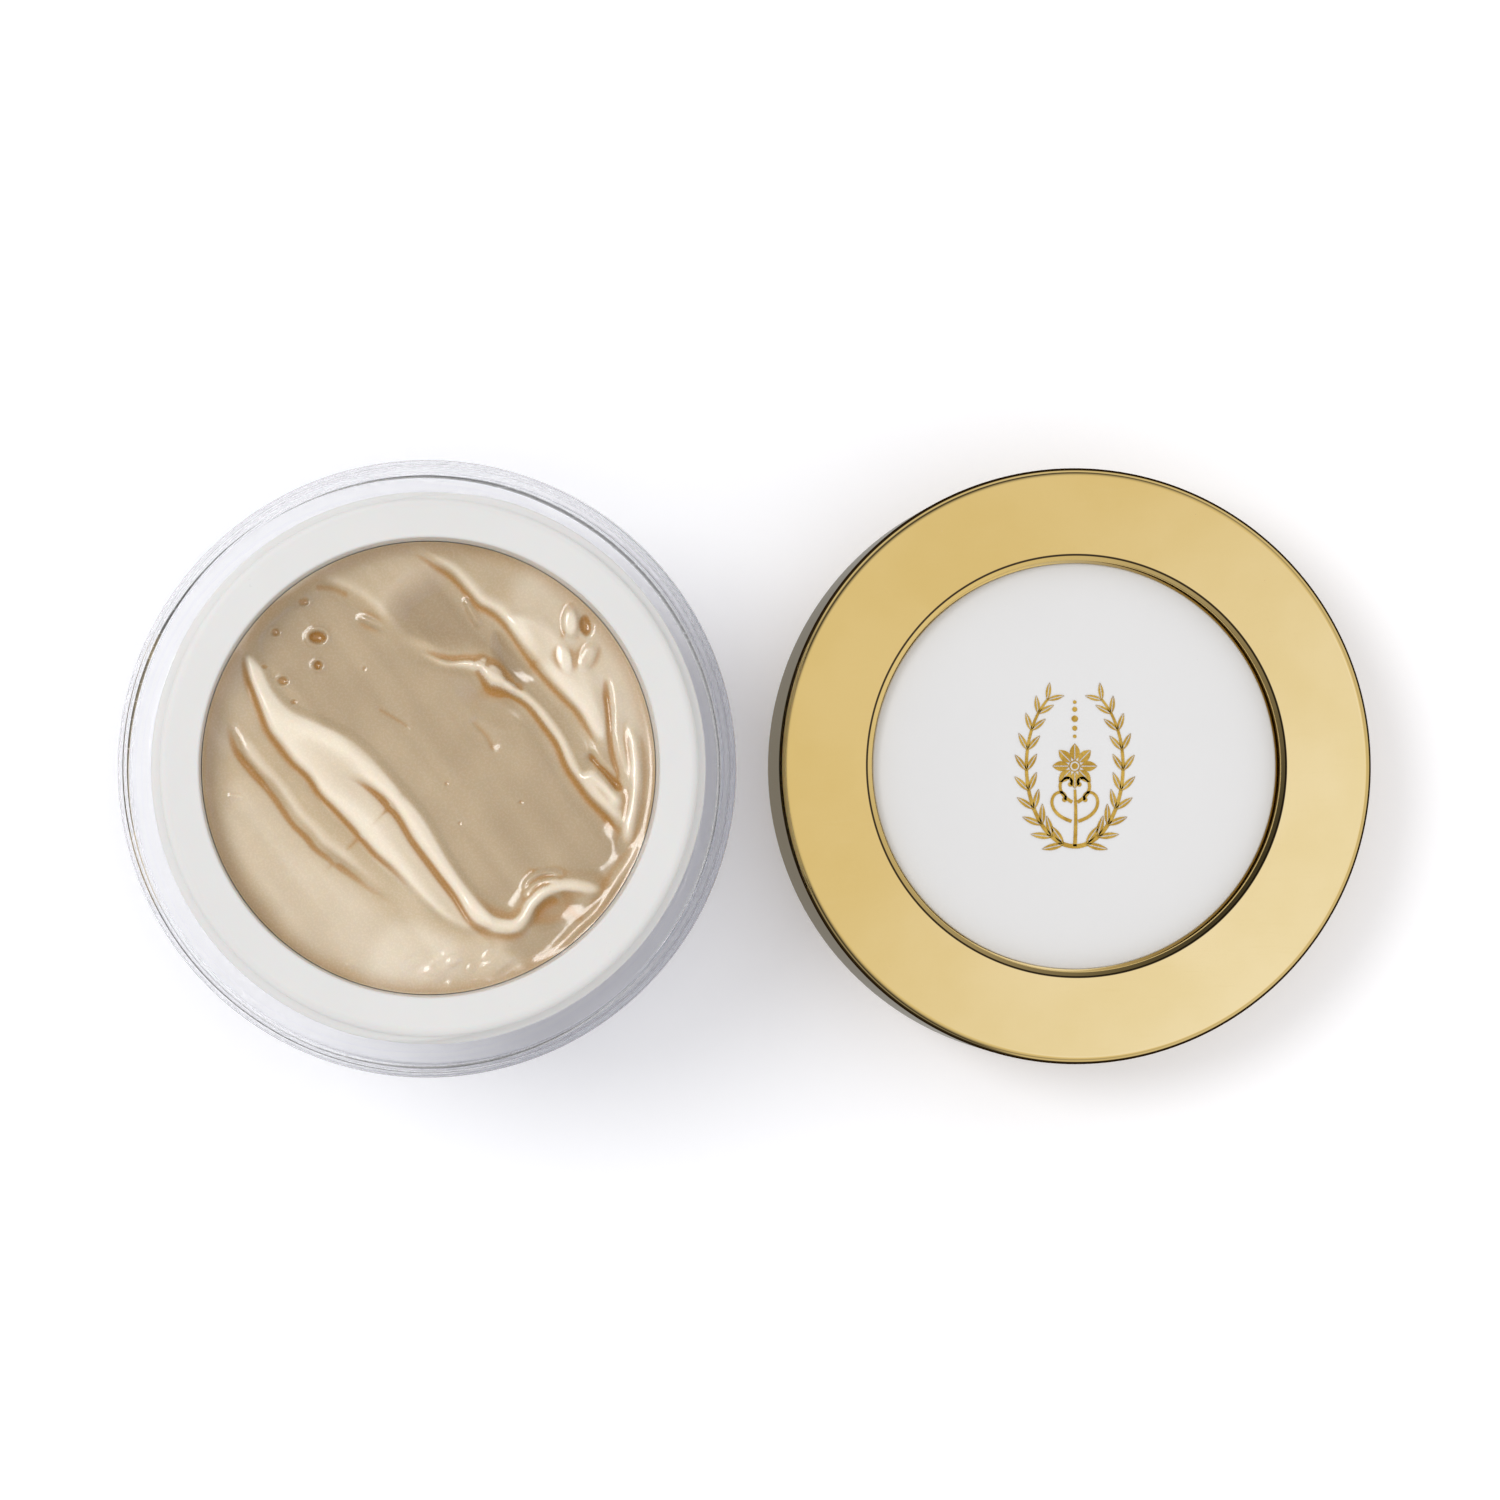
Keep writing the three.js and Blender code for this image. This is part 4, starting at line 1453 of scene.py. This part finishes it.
@dataclass
class Lid:
    """The screw lid: gold shell, threaded white cap, liner, and white inset with foil ornament."""

    gold: Finish
    plastic: Finish
    foam: Finish
    adhesive: Finish
    satin: Finish
    centre: Point = LID_AXIS
    edge_round: float = 0.9
    foot_round: float = 0.4
    wall: float = 1.3
    snap_depth: float = 0.4
    snap_top: float = 1.3
    inset: float = 22.75
    lip: float = 0.62
    lip_drop: float = 0.22
    cap_inner: float = 29.6
    cap_outer: float = 30.85
    cap_bottom: float = 1.6
    lead_in: float = 0.4
    ribs: int = 24
    rib_reach: float = 0.55
    rib_width: float = 1.2
    thread: Thread = Thread(bottom=3.15, start=0, turn=150, depth=1.05, half_width=1.15, fade=10.0)
    thread_rows: int = 48

    def level(self, node: str, end: int) -> float:
        """Return the height of a CAD node's bottom (0) or top (1) in millimetres."""
        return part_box(node)[end].z / MM

    def shell(self) -> bpy.types.Object:
        """Build the gold shell.

        Returns:
            The finished piece.
        """
        low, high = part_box("lid_shell")
        radius, top = (high.x - low.x) / 2 / MM, high.z / MM
        inner, bead = radius - self.wall, radius - self.wall - self.snap_depth
        floor, underside = self.level("inset_adhesive_pad", 0), self.level("lid_inner_cap", 1)
        path = Outline().to(0, underside).arc((inner - 0.2, underside - 0.2), 0.2, 90, 0, 4)
        path.to(inner, self.snap_top).to(bead, self.snap_top - self.snap_depth)
        path.to(bead, self.snap_depth).to(inner, 0)
        path.arc((radius - self.foot_round, self.foot_round), self.foot_round, -90, 0)
        path.arc((radius - self.edge_round, top - self.edge_round), self.edge_round, 0, 90, 14)
        path.to(self.inset + self.lip, top).to(self.inset + 0.06, top - self.lip_drop)
        path.to(self.inset, top - self.lip_drop - 0.1)
        path.to(self.inset, floor).to(0, floor)
        return fitted(turned("lid_shell_gold", path, self.centre), self.gold, "lid", "lid_shell")

    def cap(self) -> bpy.types.Object:
        """Build the white cap inside the shell, with its thread and grip ribs.

        Returns:
            The finished piece.
        """
        top, plate = self.level("lid_inner_cap", 1), self.level("lid_liner", 1) + 0.1
        path = Outline().to(0, plate)
        for height in np.linspace(plate, self.cap_bottom + self.lead_in, self.thread_rows):
            path.to(self.cap_inner, float(height))
        path.to(self.cap_inner + self.lead_in, self.cap_bottom).to(self.cap_outer, self.cap_bottom)
        for height in np.linspace(self.cap_bottom + 0.9, top - 0.9, 12):
            path.to(self.cap_outer, float(height))
        path.to(self.cap_outer, top - self.lead_in).to(self.cap_outer - self.lead_in, top).to(0, top)
        rows = path.supported()[:, :1]
        rib_half = math.degrees(self.rib_width / 2 / self.cap_outer)

        def swell(angle: np.ndarray, height: np.ndarray) -> np.ndarray:
            """Return the thread's reach inwards and the ribs' reach outwards.

            Args:
                angle: Angles round the axis, in radians.
                height: Heights.

            Returns:
                What is added to the radius.
            """
            on_inner = np.abs(rows - self.cap_inner) < ON_WALL
            on_outer = np.abs(rows - self.cap_outer) < ON_WALL
            pitch = 360 / self.ribs
            off = np.abs(np.mod(np.degrees(angle), pitch) - pitch / 2)
            rib = smooth((rib_half + 0.35 - off) / 0.7)
            span = smooth((height - self.cap_bottom - 0.8) / 0.4) * smooth((top - 0.8 - height) / 0.4)
            return self.rib_reach * rib * span * on_outer - self.thread(angle, height) * on_inner

        cap = turned("lid_cap_threaded", path, self.centre, swell)
        return fitted(cap, self.plastic, "lid", "lid_inner_cap")

    def liner(self) -> bpy.types.Object:
        """Build the foam liner with its softly rounded edge and embossed rings.

        Returns:
            The finished piece.
        """
        low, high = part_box("lid_liner")
        radius, bottom, top = (high.x - low.x) / 2 / MM, low.z / MM, high.z / MM
        path = Outline().to(0, bottom)
        for ring in np.arange(3.0, 25.0, 3.0):
            path.to(ring - 0.35, bottom).to(ring, bottom + 0.12).to(ring + 0.35, bottom)
        path.arc((radius - 0.3, bottom + 0.3), 0.3, -90, 0, 6)
        path.arc((radius - 0.3, top - 0.3), 0.3, 0, 90, 6).to(0, top)
        return fitted(turned("lid_liner_foam", path, self.centre), self.foam, "liner", "lid_liner")

    def pad(self) -> bpy.types.Object:
        """Build the adhesive sheet under the white disc.

        Returns:
            The finished piece.
        """
        low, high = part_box("inset_adhesive_pad")
        radius, bottom, top = (high.x - low.x) / 2 / MM, low.z / MM, high.z / MM
        path = Outline().to(0, bottom).to(radius - 0.05, bottom)
        path.to(radius, (bottom + top) / 2).to(radius - 0.05, top).to(0, top)
        return fitted(turned("lid_inset_pad", path, self.centre), self.adhesive, "lid", "inset_adhesive_pad")

    def disc(self) -> bpy.types.Object:
        """Build the white disc set into the lid.

        Returns:
            The finished piece.
        """
        low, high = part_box("lid_inset_disc")
        radius, bottom, top = (high.x - low.x) / 2 / MM, low.z / MM, high.z / MM
        path = Outline().to(0, bottom).arc((radius - 0.1, bottom + 0.1), 0.1, -90, 0, 3)
        path.arc((radius - 0.18, top - 0.18), 0.18, 0, 90, 6).to(0, top)
        return fitted(turned("lid_inset_white", path, self.centre), self.satin, "lid", "lid_inset_disc")

    def build(self) -> None:
        """Build every piece of the lid except its ornament."""
        self.shell()
        self.cap()
        self.liner()
        self.pad()
        self.disc()


# ---- Foil ornament --------------------------------------------------------------------------------


@dataclass
class FoilStrip:
    """A flat strip of foil between two edge lines.

    Attributes:
        left: Points of one edge.
        right: Points of the other edge.
    """

    left: np.ndarray
    right: np.ndarray

    def moved(self, turn: float, to: Point, mirror: bool = False) -> "FoilStrip":
        """Return the strip turned by an angle in degrees, moved, and mirrored left to right if asked.

        Args:
            turn: Angle in degrees.
            to: Where its own origin goes.
            mirror: Whether it is mirrored left to right.

        Returns:
            The moved strip.
        """
        cos, sin = math.cos(math.radians(turn)), math.sin(math.radians(turn))
        spin = np.array([[cos, sin], [-sin, cos]])
        sides = [edge @ spin + np.array(to) for edge in (self.left, self.right)]
        if mirror:
            sides = [edge * np.array([-1, 1]) for edge in sides[::-1]]
        return FoilStrip(*sides)


def line_strip(points: np.ndarray, widths: np.ndarray) -> FoilStrip:
    """Return a strip that follows a line with a width at each point.

    Args:
        points: The line.
        widths: Its width at each point.

    Returns:
        The strip.
    """
    along = np.gradient(points, axis=0)
    normal = np.stack([-along[:, 1], along[:, 0]], -1)
    normal /= np.linalg.norm(normal, axis=1, keepdims=True)
    half = widths[:, None] / 2
    return FoilStrip(points + normal * half, points - normal * half)


def dot_strip(place: Point, radius: float) -> FoilStrip:
    """Return a round dot of foil.

    Args:
        place: Its middle.
        radius: Its radius.

    Returns:
        The strip.
    """
    angle = np.linspace(0, np.pi, 11)
    x, y = place[0] - radius * np.cos(angle), radius * np.sin(angle)
    return FoilStrip(np.stack([x, place[1] + y], -1), np.stack([x, place[1] - y], -1))


@dataclass
class FoilWreath:
    """A generic wreath of leaves round a small flower, stamped in gold foil."""

    finish: Finish
    centre: Point = LID_AXIS
    half_width: float = 5.4
    half_height: float = 8.9
    opening: float = 33.0
    stations: int = 10
    leaf_length: float = 2.5
    leaf_width: float = 1.35
    leaf_spread: float = 34.0
    slit: float = 0.12
    petals: int = 8
    flower: float = 2.5
    beads: tuple[Point, ...] = ((3.3, 0.2), (4.2, 0.28), (5.25, 0.36), (6.3, 0.28), (7.1, 0.2))
    thickness: float = 0.08

    def leaf(self, length: float, width: float) -> list[FoilStrip]:
        """Return a pointed leaf along +X, as two halves with a fine slit between them.

        Args:
            length: Its length.
            width: Its width.

        Returns:
            The two halves.
        """
        t = np.linspace(0, 1, 13)
        x = length * (0.9 * t * (1 - t) + t * t)
        outer = width * t * (1 - t) + 0.02
        inner = np.minimum(self.slit / 2, 0.6 * outer)
        halves = []
        for side in (1, -1):
            edges = [np.stack([x, side * inner], -1), np.stack([x, side * outer], -1)]
            halves.append(FoilStrip(*(edges if side < 0 else edges[::-1])))
        return halves

    def stem(self) -> list[FoilStrip]:
        """Return the wreath's two curved stems.

        Returns:
            Both strips.
        """
        angle = np.radians(np.linspace(-90, 90 - self.opening, 60))
        points = np.stack([self.half_width * np.cos(angle), self.half_height * np.sin(angle)], -1)
        right = line_strip(points, np.linspace(0.5, 0.26, 60))
        return [right, right.moved(0, (0, 0), mirror=True)]

    def leaves(self) -> list[FoilStrip]:
        """Return the pairs of leaves along both stems, smaller towards the tips.

        Returns:
            The strips of every leaf.
        """
        made = []
        span = 180 - self.opening
        for station in range(self.stations):
            angle = math.radians(-90 + span * (station + 0.9) / self.stations)
            foot = (self.half_width * math.cos(angle), self.half_height * math.sin(angle))
            slope = (-self.half_width * math.sin(angle), self.half_height * math.cos(angle))
            heading = math.degrees(math.atan2(slope[1], slope[0]))
            size = 1 - 0.25 * station / self.stations
            for side in (-1, 1):
                for half in self.leaf(size * self.leaf_length, size * self.leaf_width):
                    leaf = half.moved(heading + side * self.leaf_spread, foot)
                    made += [leaf, leaf.moved(0, (0, 0), mirror=True)]
        return made

    def curl(self, start: Point, size: float, turn: float) -> list[FoilStrip]:
        """Return a pair of mirrored tendrils that curl up to a dot.

        Args:
            start: Where the right-hand tendril leaves the stalk.
            size: Its reach.
            turn: The direction it leaves in, in degrees.

        Returns:
            The strips of both tendrils.
        """
        t = np.linspace(0, 1, 40)
        heading = np.radians(turn) + 5.2 * t**1.6
        step = size * 0.075 * (1 - 0.72 * t)
        points = np.cumsum(np.stack([np.cos(heading), np.sin(heading)], -1) * step[:, None], axis=0) + start
        tendril = line_strip(points, 0.38 - 0.12 * t)
        tip = dot_strip(tuple(points[-1]), 0.26)
        sides = (False, True)
        return [strip.moved(0, (0, 0), mirror=mirror) for strip in (tendril, tip) for mirror in sides]

    def bloom(self) -> list[FoilStrip]:
        """Return the flower, its stalk and the beads above it.

        Returns:
            Their strips.
        """
        made = [dot_strip((0, 0), 0.34)]
        ring = np.radians(np.linspace(0, 360, 49))
        made.append(line_strip(np.stack([0.58 * np.cos(ring), 0.58 * np.sin(ring)], -1), np.full(49, 0.12)))
        for petal in range(self.petals):
            turn = 360 * petal / self.petals
            spin = (0.62 * math.cos(math.radians(turn)), 0.62 * math.sin(math.radians(turn)))
            made += [half.moved(turn, spin) for half in self.leaf(self.flower - 0.62, 1.6 * self.leaf_width)]
        stalk = np.stack([0.1 * np.sin(np.linspace(0, 3, 24)), np.linspace(-self.half_height, -2.6, 24)], -1)
        made.append(line_strip(stalk, np.linspace(0.42, 0.28, 24)))
        made += [dot_strip((0, height), radius) for height, radius in self.beads]
        return made

    def build(self) -> bpy.types.Object:
        """Build the ornament as thin foil lying on the white disc.

        Returns:
            The finished piece.
        """
        strips = self.stem() + self.leaves() + self.bloom()
        strips += self.curl((0.14, -6.2), 3.3, 18) + self.curl((0.12, -4.1), 2.6, 30)
        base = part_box("foil_ornament")[0].z / MM
        points, faces = [], []
        start, face = 0, base + self.thickness
        for strip in strips:
            count = len(strip.left)
            corners = ((strip.left, base), (strip.right, base), (strip.right, face), (strip.left, face))
            for edge, height in corners:
                points.append(np.column_stack([edge + np.array(self.centre), np.full(count, height)]))
            rows = start + np.arange(4 * count).reshape(4, count)
            start += 4 * count
            for one, other in zip(rows, np.roll(rows, -1, axis=0)):
                faces += np.stack([one[:-1], one[1:], other[1:], other[:-1]], -1).tolist()
            faces += [rows[:, 0].tolist(), rows[::-1, -1].tolist()]
        wreath = make_piece("lid_foil_wreath", np.concatenate(points), faces, sharp=30)
        return fitted(wreath, self.finish, "lid", "foil_ornament")


# ---- Studio ---------------------------------------------------------------------------------------


@dataclass
class Studio:
    """A pale floor, an even dome, a graded sky for reflections, two soft lamps and the camera.

    Attributes:
        horizon_band: Heights between which mirrors see the graded sky give way to the horizon.
        card_side: The way to a dark card that stands across the horizon in mirrors.
        card_band: How far a direction points to the card where the horizon fades in.
        bright_side: The slant of the graded sky.
        reflected: The graded sky's colours along that slant.
        backdrop: How bright the room behind the floor looks to the camera.
    """

    camera_place: tuple[float, float, float] = (-10.5, -8.6, 620.0)
    camera_aim: tuple[float, float, float] = (37.0, 2.7, 0.0)
    lens: float = 132.0
    lamp_azimuth: float = 157.0
    lamp_tilt: float = 30.0
    lamp_distance: float = 1000.0
    lamp_aim: tuple[float, float, float] = (36.0, 0.0, 20.0)
    lamp_size: float = 380.0
    lamp_power: float = 2.9
    dome: float = 0.92
    backdrop: float = 0.93
    floor_tone: Colour = (0.9, 0.9, 0.9)
    floor_half: float = 3000.0
    floor_drop: float = 0.02
    sheen_tilt: float = 32.0
    sheen_size: float = 600.0
    sheen_power: float = 9.0
    horizon: Colour = (0.7, 0.69, 0.66)
    horizon_band: Point = (0.58, 0.46)
    card_side: tuple[float, float, float] = (-0.906, -0.42, 0.0)
    card_band: Point = (0.56, 0.42)
    bright_side: tuple[float, float, float] = (0.369, -0.171, 0.9)
    reflected: tuple[tuple[float, Colour], ...] = (
        (0.0, (0.36, 0.36, 0.37)),
        (0.2, (0.32, 0.32, 0.33)),
        (0.42, (0.05, 0.05, 0.05)),
        (0.52, (0.05, 0.05, 0.05)),
        (0.7, (0.35, 0.34, 0.33)),
        (0.9, (0.78, 0.76, 0.68)),
        (0.93, (0.8, 0.78, 0.72)),
        (0.952, (0.96, 1.05, 1.4)),
        (1.0, (0.95, 1.02, 1.3)),
    )

    def floor(self) -> None:
        """Lay the floor just under the object."""
        half = self.floor_half
        corners = np.array([(-half, -half, 0), (half, -half, 0), (half, half, 0), (-half, half, 0)])
        floor = make_piece("studio_floor", corners - np.array([0, 0, self.floor_drop]), [(0, 1, 2, 3)])
        floor.data.materials.append(Paper("studio_paper", "", self.floor_tone, 0.9).material())

    def lamp(self, name: str, tilt_degrees: float, size: float, power: float) -> bpy.types.Object:
        """Hang a round soft lamp on the lamp side of the object and return it.

        Args:
            name: The lamp's name.
            tilt_degrees: Its angle from overhead.
            size: Its diameter.
            power: Its power in watts.

        Returns:
            The lamp.
        """
        tilt, azimuth = math.radians(tilt_degrees), math.radians(self.lamp_azimuth)
        flat = math.sin(tilt)
        direction = Vector((flat * math.cos(azimuth), flat * math.sin(azimuth), math.cos(tilt)))
        light = bpy.data.lights.new(name, "AREA")
        light.shape, light.size, light.energy = "DISK", size * MM, power
        lamp = bpy.data.objects.new(name, light)
        aim = Vector(self.lamp_aim) * MM
        lamp.location = aim + direction * self.lamp_distance * MM
        lamp.rotation_euler = direction.to_track_quat("Z", "Y").to_euler()
        bpy.context.scene.collection.objects.link(lamp)
        return lamp

    def sheen(self) -> None:
        """Hang a lamp that lights the cream's gloss alone, for its wet look."""
        lamp = self.lamp("cream_sheen_lamp", self.sheen_tilt, self.sheen_size, self.sheen_power)
        lamp.visible_diffuse = False
        takers = bpy.data.collections.new("sheen_takers")
        takers.objects.link(bpy.data.objects["cream_swirl"])
        lamp.light_linking.receiver_collection = takers

    def sky(self) -> None:
        """Light the room: an even dome on soft surfaces, and a graded sky and horizon in reflections."""
        world = bpy.data.worlds.new("studio_dome")
        bpy.context.scene.world = world
        world.use_nodes = True
        tree = world.node_tree
        direction = add(tree, "TexCoord").outputs["Generated"]
        slant = facing(tree, direction, self.bright_side)
        ramp = add(tree, "ValToRGB", {0: slant})
        elements = ramp.color_ramp.elements
        while len(elements) < len(self.reflected):
            elements.new(0.5)
        for element, (place, colour) in zip(elements, self.reflected):
            element.position, element.color = place, rgba(colour)
        graded = ramp.outputs[0]
        path = add(tree, "LightPath").outputs
        mirrored = math_node(tree, "SUBTRACT", path["Is Glossy Ray"], path["Is Transmission Ray"])
        height = add(tree, "SeparateXYZ", {0: direction}).outputs["Z"]
        low = math_node(tree, "MULTIPLY", mirrored, remapped(tree, height, *self.horizon_band))
        card = facing(tree, direction, self.card_side)
        low = math_node(tree, "MULTIPLY", low, remapped(tree, card, *self.card_band))
        graded = blended(tree, low, graded, rgba(self.horizon))
        seen = math_node(tree, "MAXIMUM", path["Is Glossy Ray"], path["Is Transmission Ray"])
        colour = blended(tree, seen, rgba((self.dome,) * 3), graded)
        colour = blended(tree, path["Is Camera Ray"], colour, rgba((self.backdrop,) * 3))
        tree.links.new(colour, tree.nodes["Background"].inputs["Color"])

    def camera(self) -> None:
        """Set up the camera above the jar and lid."""
        place, aim = Vector(self.camera_place) * MM, Vector(self.camera_aim) * MM
        back = (place - aim).normalized()
        right = Vector((0, 1, 0)).cross(back).normalized()
        turn = Matrix((right, back.cross(right), back)).transposed()
        data = bpy.data.cameras.new("camera")
        data.lens, data.sensor_width, data.clip_start = self.lens, 36.0, 0.01
        camera = bpy.data.objects.new("camera", data)
        camera.matrix_world = Matrix.Translation(place) @ turn.to_4x4()
        bpy.context.scene.collection.objects.link(camera)
        bpy.context.scene.camera = camera

    def build(self) -> None:
        """Set up the whole studio."""
        self.floor()
        self.lamp("soft_lamp", self.lamp_tilt, self.lamp_size, self.lamp_power).visible_glossy = False
        self.sheen()
        self.sky()
        self.camera()
        bpy.context.scene.view_settings.view_transform = "Standard"


def main() -> None:
    """Build every piece in order."""
    logging.basicConfig(level=logging.INFO, format="%(name)s: %(message)s")
    plastic = WhitePlastic("white_moulded_plastic", "white_polypropylene", (0.7, 0.693, 0.683), 0.38)
    ClearJar(ClearAcrylic("thick_clear_acrylic", "clear_acrylic", (0.99, 0.992, 0.998), 0.0)).build()
    cup = WhiteCup(plastic)
    cup.build()
    Cream(CreamFinish("rich_beige_cream", "beige_cream", (0.56, 0.44, 0.29), 0.24), cup).build()
    # The two rings are dark painted reflections on the top's outer edge and inner lip.
    gold = MirrorGold("mirror_gold_lacquer", "mirror_gold", (0.9, 0.68, 0.3), 0.05, LID_AXIS,
                      ((32.87, 0.2), (23.35, 0.13)))
    Lid(
        gold=gold,
        plastic=plastic,
        foam=Foam("closed_cell_foam", "foam_white", (0.82, 0.82, 0.8), 0.8),
        adhesive=Foam("adhesive_sheet", "adhesive", (0.66, 0.64, 0.56), 0.6, 0.15),
        satin=SatinWhite("satin_white_sheet", "satin_white", (0.72, 0.715, 0.715), 0.42),
    ).build()
    FoilWreath(GoldFoil("stamped_gold_foil", "gold_foil", (0.74, 0.47, 0.09), 0.3)).build()
    Studio().build()


if __name__ == "__main__":
    main()
